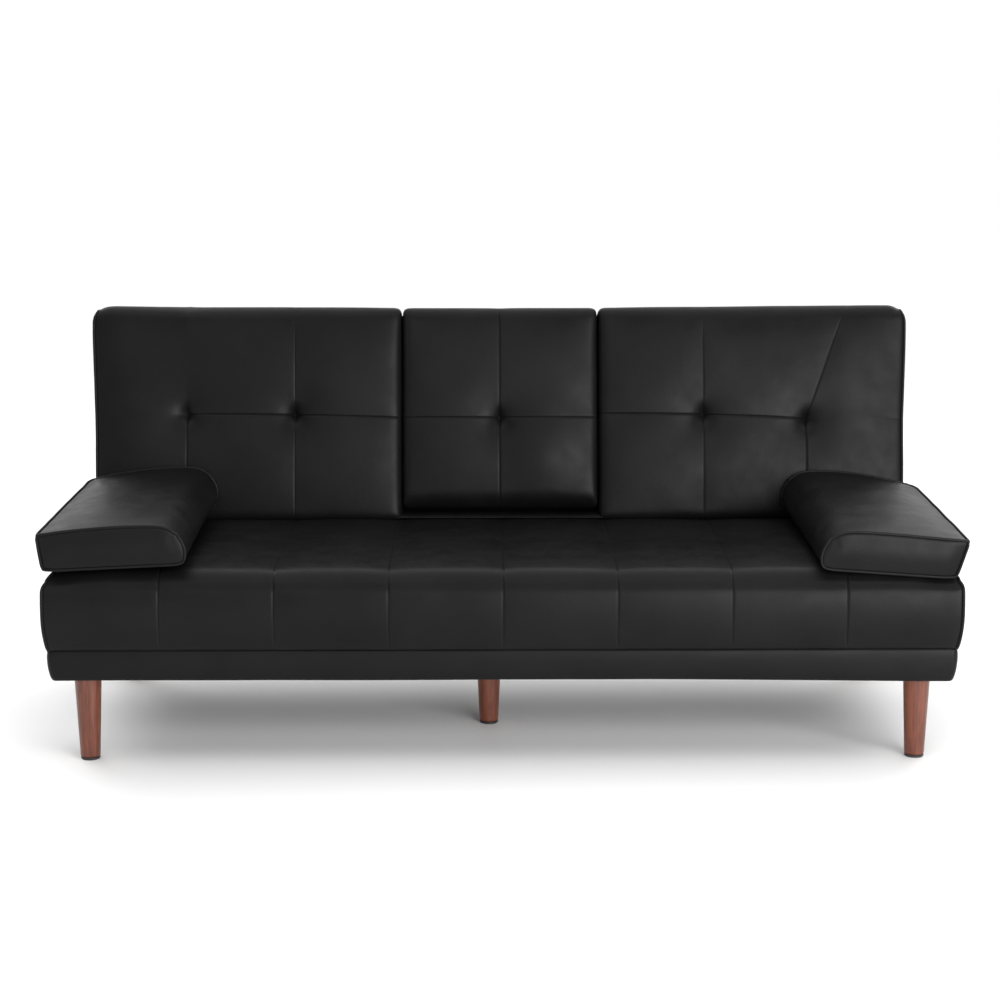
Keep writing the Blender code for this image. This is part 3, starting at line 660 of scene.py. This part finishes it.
def build_seat():
    low, high = (np.array(corner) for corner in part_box("seat_cushion"))
    half, front, rear, top = high[0] - SEAT_END_INSET, low[1], high[1], high[2]
    bottom = low[2] - 0.0015
    seams_x = [k * SEAT_PANEL for k in range(-3, 4)]
    tuft_y = front + SEAT_TUFT_DEPTH
    cover = Cover(grid_lines(-half, half, GRID, seams_x),
                  grid_lines(front, rear, GRID),
                  grid_lines(bottom, top, GRID))
    x, y, z = cover.flat.T
    cover.round_box((1, 2), (front, bottom), (rear, top), (0.003, 0.004, 0.014, SEAT_FRONT_R))

    # The ends roll in at the top and tuck in at the bottom; the front face is full in the middle.
    p = cover.points
    rise = np.clip((p[:, 2] - 0.342) / (top - 0.342), 0, 1)
    roll = 0.022 * (1 - np.sqrt(1 - rise ** 2 * 0.98))
    tuck = 0.008 * np.clip((SEAT_BELLY_Z - p[:, 2]) / (SEAT_BELLY_Z - bottom), 0, 1) ** 2
    near_end = smoothstep(np.abs(x), half - 0.10, half)
    p[:, 0] -= np.sign(x) * (roll + tuck) * near_end
    near_front = 1 - smoothstep(y, front, front + 0.06)
    low_share = np.clip((SEAT_BELLY_Z - z) / (SEAT_BELLY_Z - bottom), 0, 1)
    p[:, 1] += 0.0075 * low_share ** 2 * near_front
    p[:, 1] += 0.0040 * np.clip((p[:, 2] - SEAT_BELLY_Z) / 0.043, 0, 1) ** 2 * near_front
    turn = np.degrees(np.arctan2(z - (top - SEAT_FRONT_R), front + SEAT_FRONT_R - y))
    rolled = (y < front + SEAT_FRONT_R) * (z > top - SEAT_FRONT_R)
    valley = 0.0029 * groove(turn - 25, 10.5) * rolled

    upper = smoothstep(z, top - 0.05, top)
    across = np.clip((y - front) / (rear - front), 0, 1)
    drop = np.where(across < 0.5, SEAT_DROP["front"], SEAT_DROP["rear"])
    p[:, 2] -= upper * drop * (1 - np.sin(np.pi * across) ** 0.8)
    p[:, 2] -= upper * SEAT_DROP["end"] * smoothstep(np.abs(x), 0.74, half)

    # Panels crown between the seams; shallow tufts where the seams cross the middle row.
    end_face = cover.on_side(0, False) | cover.on_side(0, True)
    under = cover.on_side(2, False)
    behind = cover.on_side(1, True)
    shown = ~(end_face | under | behind)
    to_seam = np.min([np.abs(x - s) for s in seams_x], axis=0)
    phase = np.clip(to_seam / (SEAT_PANEL / 2), 0, 1)
    on_top = cover.on_side(2, True)
    crown = np.where(on_top, 0.0014, 0.0020) * (1 - (1 - phase) ** 2.2)
    tufts = np.zeros(len(x))
    for s in seams_x:
        reach = np.hypot(x - s, (y - tuft_y) * 0.9)
        tufts += 0.0030 * groove(reach, 0.055) + 0.0010 * groove(reach, 0.018)
    p[:, 2] += 0.0012 * on_top * ripple(cover.flat, 6.0, 4)
    p[:, 1] -= 0.0010 * cover.on_side(1, False) * ripple(cover.flat, 9.0, 6)
    cover.push(shown * (crown - 0.0012) - on_top * tufts)

    sewn = np.zeros(len(x))
    sewn[under | behind | end_face] = 1
    sewn[(to_seam < SEAM_FINE[0] + 1e-5) & shown] = 1
    sewn[np.concatenate([cover.rim(0, False), cover.rim(0, True)])] = 1
    sewn[(z < bottom + 0.004) | (y > rear - 0.02)] = 1

    front_only = 1 - smoothstep(y, front + 0.02, front + 0.24)
    depth = 0.0006 + 0.0012 * front_only
    seams = shown * sewn_line(to_seam, 1.0) * depth * smoothstep(z, bottom + 0.004, bottom + 0.02)
    seams = seams + valley * ~end_face
    seat = make_cushion("seat_upholstery", cover, sewn, seams, ["seat_cushion"], "base",
                        pressure=0.5, spare=0.002, most=0.0020)
    for side, high_end in (("left", False), ("right", True)):
        low_front = under & (np.abs(y - front) < 1e-6)
        ordered = run_along(cover.rim(0, high_end), low_front, z > bottom + 1e-6)
        path = [i for n, i in enumerate(ordered) if n == 0 or not under[i]]
        add_welt(f"seat_piping_{side}", cover.points[path], WELT_R, "base")

    for s in SIDES.values():
        xs = hinge_slot(s)
        cut_box(seat, (xs[0], front + 0.517, 0.272), (xs[1], rear + 0.05, top + 0.05))


# ---------------------------------------------------------------- backrest
TURN = Matrix.Rotation(-LEAN, 3, "X")
TO_WORLD = np.array(TURN)


def leaning_box(node):
    """A node's box along the backrest's own directions: x, v (to the rear) and u (up the panel)."""
    co = mesh_points(NODES[node].data) @ TO_WORLD
    return co.min(axis=0), co.max(axis=0)


BACK_LOW, BACK_HIGH = leaning_box("back_cushion_right")
PANEL_V = BACK_LOW[1]
PANEL_U = BACK_LOW[2] - BACK_U0


def from_panel(points):
    """(x, v, u) on the backrest panel to the world."""
    return (points + (0, PANEL_V, PANEL_U)) @ TO_WORLD.T


def tuft_dent(a, u, centre, wide=1.0):
    """A sewn-down point: a broad hollow with a sharp pinch in its middle."""
    reach = np.hypot(a - centre[0], u - centre[1])
    pinch = np.hypot((a - centre[0]) / (0.0085 * wide), (u - centre[1]) / 0.013)
    hollow = 0.0060 * groove(reach, 0.060) + 0.0095 * groove(reach, 0.022)
    return hollow + 0.0080 * np.exp(-pinch ** 2)


def build_back_cushion(side, s):
    inner, outer = BACK_INNER, BACK_OUTER
    thick = BACK_HIGH[1] - BACK_LOW[1]
    u0, u1 = BACK_LOW_U, BACK_U0 + BACK_HIGH[2] - BACK_LOW[2]
    tufts = BACK_TUFTS[side]
    seam_u = BACK_SEAM_U
    cover = Cover(grid_lines(inner, outer, GRID, [t[0] for t in tufts]),
                  grid_lines(0.0, thick, GRID),
                  grid_lines(u0, u1, GRID, [seam_u]))
    a, v, u = cover.flat.T.copy()

    # The cross seam dips and rises a little from tuft to tuft.
    knots_a = [inner, tufts[0][0], tufts[1][0], outer]
    knots_u = [BACK_SEAM_INNER_U[side], tufts[0][1], tufts[1][1], tufts[1][1]]
    seam_line = np.interp(a, knots_a, knots_u)
    fade = 1 - np.abs(u - seam_u) / np.where(u > seam_u, u1 - seam_u, seam_u - u0)
    cover.points[:, 2] += (seam_line - seam_u) * fade
    if side == "right":
        # Above the right outer tuft the cover creases outwards instead of straight up.
        above = np.clip((u - seam_u) / (u1 - seam_u), 0, 1)
        side_fade = np.clip(1 - np.abs(a - tufts[1][0]) / 0.20, 0, 1)
        cover.points[:, 0] += 0.088 * above * side_fade
    pa, pu = cover.points[:, 0].copy(), cover.points[:, 2].copy()

    cover.round_box((1, 2), (0.0, u0), (thick, u1), (0.016, 0.008, 0.012, 0.026))
    cover.round_box((0, 1), (inner, 0.0), (outer, thick), (0.017, 0.009, 0.004, 0.006))
    cover.round_box((0, 2), (inner, u0), (outer, u1), (0.008, 0.006, 0.034, 0.012))
    p = cover.points
    near_outer = smoothstep(pa, outer - 0.10, outer)
    flare = 0.0085 * smoothstep(pu, 0.14, 0.42) - 0.002 * (1 - smoothstep(pu, u0, 0.14))
    p[:, 0] += near_outer * flare
    p[:, 2] += smoothstep(pu, 0.30, u1) * (0.005 * (pa - inner) / (outer - inner) - 0.0035)

    front = 1 - smoothstep(v, 0.0, 0.05)
    wide = np.clip((pa - inner) / (outer - inner), 0, 1)
    tall = np.clip((pu - u0) / (u1 - u0), 0, 1)
    square = np.where(wide > 0.5, 5.5, 3.5)     # the outer half stays flat for longer
    swell_out = (1 - np.abs(2 * wide - 1) ** square) * (1 - np.abs(2 * tall - 1) ** 3.0)
    p[:, 1] -= front * 0.010 * swell_out
    face = cover.on_side(1, False)
    dents = sum(tuft_dent(pa, pu, t) for t in tufts)
    p[:, 1] += front * dents * face
    p[:, 1] += 0.0007 * front * ripple(cover.flat, 8.0, 3 + s)

    sewn = np.zeros(len(a))
    sewn[cover.on_side(1, True)] = 1
    sewn[v > thick - 0.03] = 1
    sewn[cover.rim(0, True)] = 1
    near = SEAM_FINE[0] + 1e-6
    across = np.abs(u - seam_u) < near
    column = [np.abs(a - t[0]) < near for t in tufts]
    seam_rows = across & (a < tufts[1][0] + near)
    below = u < seam_u + 1e-6
    outer_column = column[1] & (below | (side == "right"))
    sewn[face & (seam_rows | column[0] | outer_column)] = 0.8
    for t in tufts:
        sewn[face & (np.hypot(a - t[0], u - seam_u) < 0.006)] = 1

    edge_fade = smoothstep(u1 - u, 0.02, 0.08)
    low_seam = 1.0 * (u < seam_u)
    if side == "right":
        low_seam = low_seam + (u >= seam_u) * 0.7 * edge_fade
    seams = sewn_line(u - seam_u, 0.0022) * (a < tufts[1][0] + 0.001)
    inner_seam = sewn_line(a - tufts[0][0], BACK_INNER_SEAM[side]) * edge_fade
    outer_seam = sewn_line(a - tufts[1][0], 0.0022) * low_seam
    for line in (inner_seam, outer_seam):
        seams = np.where(np.abs(line) > np.abs(seams), line, seams)
    seams = seams * face * smoothstep(u, u0, u0 + 0.03)

    cushion = make_cushion(f"back_upholstery_{side}", cover, sewn, seams, [f"back_cushion_{side}"],
                           "backrest", pressure=0.6, spare=0.003, most=0.0030,
                           mirror=s < 0, place=from_panel)
    lowest = u <= u0 + 1e-6
    ordered = run_along(cover.rim(0, True), lowest & (v >= thick - 1e-6), lowest)
    path = [i for i in ordered if v[i] < thick - 1e-6]
    # Round the top corner the piping lies deeper in the cover.
    sink = 0.0024 * smoothstep(u[path], u1 - 0.035, u1 - 0.012)
    add_welt(f"back_piping_{side}", cover.points[path] - cover.normals()[path] * sink[:, None],
             WELT_R, "backrest")

    xs = hinge_slot(s)
    low = (xs[0], PANEL_V + 0.012, PANEL_U - 0.03)
    high = (xs[1], PANEL_V + thick + 0.03, PANEL_U + 0.058)
    cut_box(cushion, low, high, TURN)


# ---------------------------------------------------------------- console
def build_console():
    high = leaning_box("console_cushion")[1]
    frame_high = leaning_box("console_frame")[1]
    half = CONSOLE_HALF
    thick = frame_high[1] - PANEL_V
    u0, u1 = CONSOLE_LOW_U, high[2] - PANEL_U
    tuft_x, tuft_u = CONSOLE_TUFT
    cover = Cover(grid_lines(-half, half, GRID, [tuft_x]),
                  grid_lines(0.0, thick, GRID * 0.9),
                  grid_lines(u0, u1, GRID, [tuft_u]))
    x, v, u = cover.flat.T.copy()
    cover.round_box((1, 2), (0.0, u0), (thick, u1), (CONSOLE_END_R, CONSOLE_END_R, 0.004, 0.024))
    cover.round_box((0, 1), (-half, 0.0), (half, thick), (0.014, 0.014, 0.003, 0.003))
    cover.round_box((0, 2), (-half, u0), (half, u1), (0.008, 0.008, 0.012, 0.012))
    p = cover.points
    front = 1 - smoothstep(v, 0.0, 0.04)
    wide, tall = x / half, 2 * np.clip((u - u0) / (u1 - u0), 0, 1) - 1
    p[:, 1] -= front * 0.010 * (1 - np.abs(wide) ** 3.5) * (1 - np.abs(tall) ** 3.0)
    face = cover.on_side(1, False)
    p[:, 1] += front * face * tuft_dent(x, u, CONSOLE_TUFT, 0.8)
    p[:, 1] -= 0.0080 * front * groove(np.hypot(x - 0.095, (u - 0.130) * 0.9), 0.068)
    p[:, 1] += 0.0006 * front * ripple(cover.flat, 8.0, 7)

    on_column = np.abs(x - tuft_x) < SEAM_FINE[0] + 1e-6
    on_row = np.abs(u - tuft_u) < SEAM_FINE[0] + 1e-6
    sewn = np.zeros(len(x))
    sewn[(v > thick - 0.02) | (u < CONSOLE_AXIS[1])] = 1
    sewn[face & (on_column | on_row)] = 0.8
    sewn[face & (np.hypot(x - tuft_x, u - tuft_u) < 0.006)] = 1
    upright, level = sewn_line(x - tuft_x, 0.0022), sewn_line(u - tuft_u, 0.0022)
    seams = np.where(np.abs(level) > np.abs(upright), level, upright)
    seams = seams * face * smoothstep(u, u0, u0 + 0.02)
    console = make_cushion("console_upholstery", cover, sewn, seams,
                           ["console_cushion", "console_frame"], "console",
                           pressure=0.6, spare=0.003, most=0.0025, place=from_panel)
    # Its modifiers are applied, and it keeps a mesh of its own.
    apply_modifiers(console)
    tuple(from_panel(np.array([(0, thick, 0)]))[0])
    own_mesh(console)


def build_console_sill():
    """A padded strip under the console, on the bottom rail, hollowed where the console swings."""
    half, v0, v1, u0, u1 = 0.2200, 0.006, 0.080, -0.011, 0.0140
    axis_v, axis_u = CONSOLE_AXIS
    cover = Cover(grid_lines(-half, half, GRID),
                  grid_lines(v0, v1, 0.0035),
                  grid_lines(u0, u1, 0.0045))
    v, u = cover.flat[:, 1], cover.flat[:, 2]
    cover.round_box((1, 2), (v0, u0), (v1, u1), (0.014, 0.003, 0.002, 0.0085))
    swing = axis_u - np.sqrt(SILL_CLEAR ** 2 - (cover.points[:, 1] - axis_v) ** 2)
    ceiling = np.minimum(swing, np.where(v < axis_v, -0.0040 + 0.42 * (v - v0), 0.0185)) - u1
    share = (u - u0) / (u1 - u0)
    cover.points[:, 2] += ceiling * share
    # Its rear half hangs lower and closes the view under the console.
    cover.points[:, 2] -= 0.012 * smoothstep(v, 0.040, 0.050) * (1 - share)
    cover.push(0.0006 * ripple(cover.flat, 22.0, 15))
    sill = add_mesh("console_sill", from_panel(cover.points), cover.quads, LEATHER)
    subdivide(sill)
    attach(sill, "backrest")


# ---------------------------------------------------------------- arm pillows
def build_pillow(side, s):
    low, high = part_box(f"arm_pillow_{side}")
    wide, tall = PILLOW_WIDE[side], PILLOW_TALL[side]
    front, rear = low.y - 0.004, high.y - 0.001
    cover = Cover(grid_lines(-wide, 0.0, GRID * 0.9),
                  grid_lines(front, rear, GRID),
                  grid_lines(0.0, tall, GRID * 0.8))
    e, y, n = cover.flat.T.copy()
    along = (y - front) / (rear - front)
    low_r, top_r = 0.27 * tall, 0.70 * tall
    cover.round_box((0, 2), (-wide, 0.0), (0.0, tall), (low_r, 0.004, 0.004, top_r))
    p = cover.points
    # e runs outwards from the round inner edge to the square outer one.
    p[:, 0] += smoothstep(e, -0.10, 0.0) * PILLOW_FLARE[side] * (n / tall)
    bulge = np.sin(np.pi * n / tall) * np.sin(np.pi * along) ** 0.5
    p[:, 0] += 0.0025 * smoothstep(e, -0.02, 0.0) * bulge
    middle = 1 - np.abs(2 * (e + wide * 0.55) / wide).clip(0, 1) ** 2.2
    crown = PILLOW_CROWN[side][0] + (PILLOW_CROWN[side][1] - PILLOW_CROWN[side][0]) * along
    full = 1 - np.abs(2 * along - 1) ** 4
    p[:, 2] += (n / tall) * middle * (crown + 0.003 * full)
    ends = cover.on_side(1, False) * -1.0 + cover.on_side(1, True) * 1.0
    edge = 0.03
    inside = np.minimum(n, tall - n).clip(0, edge) / edge
    inside = inside * np.minimum(-e, e + wide).clip(0, edge) / edge
    p[:, 1] += ends * 0.005 * inside
    p[:, 1] += cover.on_side(1, False) * 0.008 * smoothstep(e, -0.032, 0.0) * (1 - 0.7 * n / tall)
    p[:, 0] *= 1 - PILLOW_TAPER[side] * along
    p[:, 0] -= 0.008 * smoothstep(along, 0.93, 1.0) * smoothstep(e, -0.06, 0.0)
    p[:, 0] += 0.0010 * ripple(cover.flat, 14.0, 8 + s)
    p[:, 2] += 0.0012 * (n / tall) * ripple(cover.flat, 10.0, 12 + s)

    def place(points):
        """From the pillow's own grid, mirrored for the left one, to its place on the seat."""
        share = np.clip((points[:, 1] - front) / (rear - front), 0, 1)
        (x0, z0, t0), (x1, z1, t1) = PILLOW_EDGE[side]
        tilt = np.radians(t0 + (t1 - t0) * share)
        e, n = points[:, 0], points[:, 2]
        x = s * (x0 + (x1 - x0) * share) + e * np.cos(tilt) + s * n * np.sin(tilt)
        z = z0 + (z1 - z0) * share - s * e * np.sin(tilt) + n * np.cos(tilt)
        sunk = seat_height(x, points[:, 1]) + 0.0010 - z
        z = z + np.maximum(sunk, 0) * np.clip(1 - n / (0.6 * tall), 0, 1)
        return np.stack([x, points[:, 1], z], axis=1)

    sewn = np.zeros(len(e))
    sewn[np.concatenate([cover.rim(1, False), cover.rim(1, True)])] = 1
    sewn[cover.on_side(0, True) & (cover.on_side(2, True) | cover.on_side(2, False))] = 1
    sewn[cover.on_side(2, False)] = 1
    make_cushion(f"arm_pillow_upholstery_{side}", cover, sewn, np.zeros(len(e)),
                 [f"arm_pillow_{side}"], f"pillow_{side}", pressure=0.5, spare=0.004,
                 most=0.0030, mirror=s < 0, place=place)
    for end, high_end in (("front", False), ("rear", True)):
        add_welt(f"arm_pillow_piping_{side}_{end}", cover.points[cover.rim(1, high_end)],
                 PILLOW_WELT_R, f"pillow_{side}", closed=True)
    for edge, high_edge in (("top", True), ("bottom", False)):
        edge_points = np.flatnonzero(cover.on_side(0, True) & cover.on_side(2, high_edge))
        ordered = edge_points[np.argsort(y[edge_points])]
        add_welt(f"arm_pillow_piping_{side}_{edge}", cover.points[ordered], PILLOW_WELT_R,
                 f"pillow_{side}")


# ---------------------------------------------------------------- plinth band
def build_plinth_band():
    """One padded leather strip wrapped round the base, its lower edge turned under."""
    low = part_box("plinth_cover_front")[0]
    high = Vector((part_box("plinth_cover_front")[1].x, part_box("plinth_cover_rear")[1].y,
                   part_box("plinth_cover_front")[1].z))
    thick, corner = 0.010, 0.014
    tall = high.z - low.z
    corners = ((high.x, low.y, -90), (high.x, high.y, 0), (low.x, high.y, 90), (low.x, low.y, 180))
    route = []
    for cx, cy, start in corners:
        ox = cx - math.copysign(corner, cx)
        oy = cy + (corner if cy == low.y else -corner)
        for k in range(7):
            turn = math.radians(start + 90 * k / 6)
            route.append((ox + corner * math.cos(turn), oy + corner * math.sin(turn),
                          math.cos(turn), math.sin(turn)))
    path = []
    for n, (x0, y0, nx0, ny0) in enumerate(route):
        x1, y1, nx1, ny1 = route[(n + 1) % len(route)]
        parts = max(1, int(math.hypot(x1 - x0, y1 - y0) / 0.012))
        for t in np.arange(parts) / parts:
            path.append((x0 + (x1 - x0) * t, y0 + (y1 - y0) * t,
                         nx0 + (nx1 - nx0) * t, ny0 + (ny1 - ny0) * t))
    # Cross-section, outwards and up: (out, height) with out 0 on the outer face.
    section = [(-thick, 0.004), (-thick, tall + 0.0004), (-0.006, tall + 0.0008),
               (-0.0028, tall + 0.0002), (-0.0006, tall - 0.0040), (0.0008, tall * 0.74),
               (0.0010, tall * 0.50), (0.0002, tall * 0.26), (-0.0012, 0.0060),
               (-0.0030, 0.0005), (-0.0065, -0.0022)]
    points, faces = [], []
    count = len(section)
    for n, (x, y, nx, ny) in enumerate(path):
        sag = 0.0009 * noise.noise(Vector((x * 4.0, y * 4.0, 1.3)))
        puff = 0.0008 * noise.noise(Vector((x * 9.0, y * 9.0, 5.1)))
        for out, height in section:
            outer = 1 + out / thick
            o = out + puff * outer
            lower = 1 - height / tall
            drop = sag * (0.4 + 0.6 * lower) - 0.0055 * lower * smoothstep(x, 0.25, 0.87)
            tuck = 0.005 * max(lower, 0) ** 2 * smoothstep(abs(x), 0.80, high.x)
            points.append((x + nx * o - math.copysign(tuck, x), y + ny * o, low.z + height + drop))
    total = len(path)
    for n in range(total):
        m = (n + 1) % total
        for k in range(count):
            j = (k + 1) % count
            faces.append((n * count + k, n * count + j, m * count + j, m * count + k))
    band = add_mesh("plinth_band", points, faces, LEATHER)
    body = bmesh.new()
    body.from_mesh(band.data)
    bmesh.ops.recalc_face_normals(body, faces=body.faces)
    body.to_mesh(band.data)
    body.free()
    subdivide(band)
    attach(band, "base")
    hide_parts("plinth_cover_front", "plinth_cover_rear",
                "plinth_cover_left", "plinth_cover_right")


# ---------------------------------------------------------------- linings
def add_lining(name, points, shape):
    """A thin sheet on a grid of points."""
    index = np.arange(len(points)).reshape(shape)
    corners = (index[:-1, :-1], index[:-1, 1:], index[1:, 1:], index[1:, :-1])
    quads = np.stack(corners, axis=-1).reshape(-1, 4)
    lining = add_mesh(name, points, quads, NONWOVEN)
    add_modifier(lining, "SOLIDIFY", thickness=LINING_THICK, offset=0)
    return lining


def build_rear_lining():
    """The stretched lining on the back, pulled slightly between its staples."""
    low, high = leaning_box("rear_cover")
    xs = grid_lines(low[0], high[0], 0.018)
    us = grid_lines(low[2], high[2], 0.018)
    v_mid = (low[1] + high[1]) / 2 - 0.0004
    gx, gu = np.meshgrid(xs, us, indexing="ij")
    edge = np.minimum.reduce([gx - low[0], high[0] - gx, gu - low[2], high[2] - gu])
    scallop = 0.0020 * (1 - smoothstep(edge, 0.0, 0.03))
    rows = np.stack([gx, np.full_like(gx, v_mid), gu], axis=-1).reshape(-1, 3)
    waves = ripple(rows * (1, 1, 0.35), 11.0, 5).reshape(gx.shape)
    pull = np.cos(gx * 2 * math.pi / 0.052)
    inset_u = scallop * pull * np.sign(gu - (low[2] + high[2]) / 2) * 0.6
    v = v_mid + 0.0011 * waves * smoothstep(edge, 0.0, 0.05) + 0.0004
    points = np.stack([gx, v, gu - inset_u], axis=-1).reshape(-1, 3) @ TO_WORLD.T
    lining = add_lining("rear_lining", points, gx.shape)
    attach(lining, "backrest")
    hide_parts("rear_cover")
    return low, high, v_mid


def build_rear_staples(low, high, v_mid):
    """A row of wire staples just inside the lining's edge."""
    crown, wire, inset, pitch = 0.010, 0.0005, 0.008, 0.052
    spots = []
    for x in np.arange(low[0] + 0.03, high[0] - 0.02, pitch):
        spots += [(x, low[2] + inset, 0), (x, high[2] - inset, 0)]
    for u in np.arange(low[2] + 0.05, high[2] - 0.04, pitch):
        spots += [(low[0] + inset, u, 1), (high[0] - inset, u, 1)]
    points, faces = [], []
    v = v_mid + 0.0014
    for x, u, upright in spots:
        ends = ((0, -crown / 2), (0, crown / 2)) if upright else ((-crown / 2, 0), (crown / 2, 0))
        start = len(points)
        for dx, du in ends:
            for k in range(6):
                turn = math.radians(60 * k)
                side, out = wire * math.cos(turn), wire * math.sin(turn)
                offset = (side, 0) if upright else (0, side)
                points.append((x + dx + offset[0], v + out, u + du + offset[1]))
        for k in range(6):
            j = (k + 1) % 6
            faces.append((start + k, start + j, start + 6 + j, start + 6 + k))
        faces.append(tuple(start + k for k in range(6)))
        faces.append(tuple(start + 6 + k for k in reversed(range(6))))
    staples = add_mesh("rear_staples", np.array(points) @ TO_WORLD.T, faces, ZINC, smooth=False)
    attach(staples, "backrest")


def build_dust_lining():
    """The lining under the base, sagging a little between the boards, with a hole for each leg."""
    low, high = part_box("dust_cover")
    xs = grid_lines(low.x, high.x, 0.022)
    ys = grid_lines(low.y, high.y, 0.022)
    gx, gy = np.meshgrid(xs, ys, indexing="ij")
    edge = np.minimum.reduce([gx - low.x, high.x - gx, gy - low.y, high.y - gy])
    rows = np.stack([gx, gy, gx * 0], axis=-1).reshape(-1, 3)
    waves = ripple(rows, 7.0, 11).reshape(gx.shape)
    free = smoothstep(edge, 0.02, 0.12) * smoothstep(np.abs(gx + 0.026), 0.03, 0.13)
    gz = high.z - 0.0008 - free * (0.004 + 0.0015 * waves)
    points = np.stack([gx, gy, gz], axis=-1).reshape(-1, 3)
    lining = add_lining("dust_lining", points, gx.shape)
    apply_modifiers(lining)
    for name in (n for n in NODES if n.startswith("leg_") and not n.startswith("leg_block")):
        leg_low, leg_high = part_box(name)
        body = bmesh.new()
        bmesh.ops.create_cone(body, cap_ends=True, segments=32, radius1=LEG_HOLE_R,
                              radius2=LEG_HOLE_R, depth=0.04)
        mesh = bpy.data.meshes.new("leg_hole")
        body.to_mesh(mesh)
        body.free()
        cutter = place_object("leg_hole", mesh)
        cutter.location = ((leg_low.x + leg_high.x) / 2, (leg_low.y + leg_high.y) / 2, high.z)
        cut_away(lining, cutter)
    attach(lining, "base")
    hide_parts("dust_cover")


def build_recess_sleeves():
    """Leatherette sleeves on the two rails where they cross the console's recess."""
    reach = BACK_LOW[0] + 0.004
    for place in ("top", "bottom"):
        low, high = leaning_box(f"back_rail_{place}")
        v0, v1 = low[1] - PANEL_V - SLEEVE_SKIN, high[1] - PANEL_V + SLEEVE_SKIN
        u0, u1 = low[2] - PANEL_U - SLEEVE_SKIN, high[2] - PANEL_U + SLEEVE_SKIN
        cover = Cover(grid_lines(-reach, reach, 0.012), grid_lines(v0, v1, 0.008, (v0, v1)),
                      grid_lines(u0, u1, 0.008, (u0, u1)))
        cover.round_box((1, 2), (v0, u0), (v1, u1), (0.0012,) * 4)
        cover.push(0.0003 * ripple(cover.flat * (0.5, 2, 2), 26.0, 2 if place == "top" else 9))
        sleeve = add_mesh(f"recess_sleeve_{place}", from_panel(cover.points), cover.quads, LEATHER)
        subdivide(sleeve)
        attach(sleeve, "backrest")


# ---------------------------------------------------------------- stage
def add_area_light(name, place, aim, size, power):
    light = bpy.data.lights.new(name, "AREA")
    light.shape = "RECTANGLE"
    light.size, light.size_y = size
    light.energy = power
    obj = place_object(name, light)
    obj.location = place
    obj.rotation_euler = (Vector(aim) - Vector(place)).to_track_quat("-Z", "Y").to_euler()


def build_stage():
    far = 300.0
    points = [(-far, -far, 0), (far, -far, 0), (far, far, 0), (-far, far, 0)]
    floor = add_mesh("floor", points, [(0, 1, 2, 3)], floor_finish(), smooth=False)

    scene = bpy.context.scene
    scene.view_settings.view_transform = "Standard"
    world = bpy.data.worlds.new("studio")
    scene.world = world
    world.use_nodes = True
    tree = world.node_tree
    background = tree.nodes["Background"]
    coordinates = tree.nodes.new("ShaderNodeTexCoord")
    separate = tree.nodes.new("ShaderNodeSeparateXYZ")
    ramp = tree.nodes.new("ShaderNodeValToRGB")
    tree.links.new(coordinates.outputs["Generated"], separate.inputs[0])
    tree.links.new(separate.outputs["Z"], ramp.inputs["Fac"])
    tree.links.new(ramp.outputs["Color"], background.inputs["Color"])
    ramp.color_ramp.elements[0].position = 0.10
    ramp.color_ramp.elements[0].color = (1, 1, 1, 1)
    ramp.color_ramp.elements[1].position = 0.40
    ramp.color_ramp.elements[1].color = (0.20, 0.20, 0.20, 1)
    background.inputs["Strength"].default_value = 1.05

    overhead = bpy.data.lights.new("overhead", "SUN")
    overhead.energy = 2.6
    overhead.angle = math.radians(100)
    place_object("overhead", overhead).rotation_euler = (math.radians(-12), 0, 0)

    add_area_light("softbox_right", (2.5, -4.0, 1.35), (0.7, 0, 0.35), (3.4, 2.4), 222)
    add_area_light("softbox_front", (-0.9, -4.0, 2.8), (0, 0, 0.4), (1.6, 1.0), 18)
    for side, s in SIDES.items():
        add_area_light(f"softbox_rear_{side}", (2.8 * s, 3.0, 2.2), (0.4 * s, 0, 0.4),
                       (1.8, 1.4), 30)


def build_camera():
    camera = bpy.data.cameras.new("camera")
    camera.lens = LENS
    camera.sensor_width = 36.0
    camera.clip_end = 200.0
    obj = place_object("camera", camera)
    obj.location = (CAMERA_ACROSS, CAD_LOW.y - CAMERA_DISTANCE, CAMERA_HIGH)
    obj.rotation_euler = (math.pi / 2 - CAMERA_DOWN, 0, CAMERA_TURN)
    bpy.context.scene.camera = obj


finish_carried_nodes()
build_seat()
for side_name, side_sign in SIDES.items():
    build_back_cushion(side_name, side_sign)
    build_pillow(side_name, side_sign)
build_console()
build_console_sill()
build_plinth_band()
build_rear_staples(*build_rear_lining())
build_dust_lining()
build_recess_sleeves()
build_stage()
build_camera()
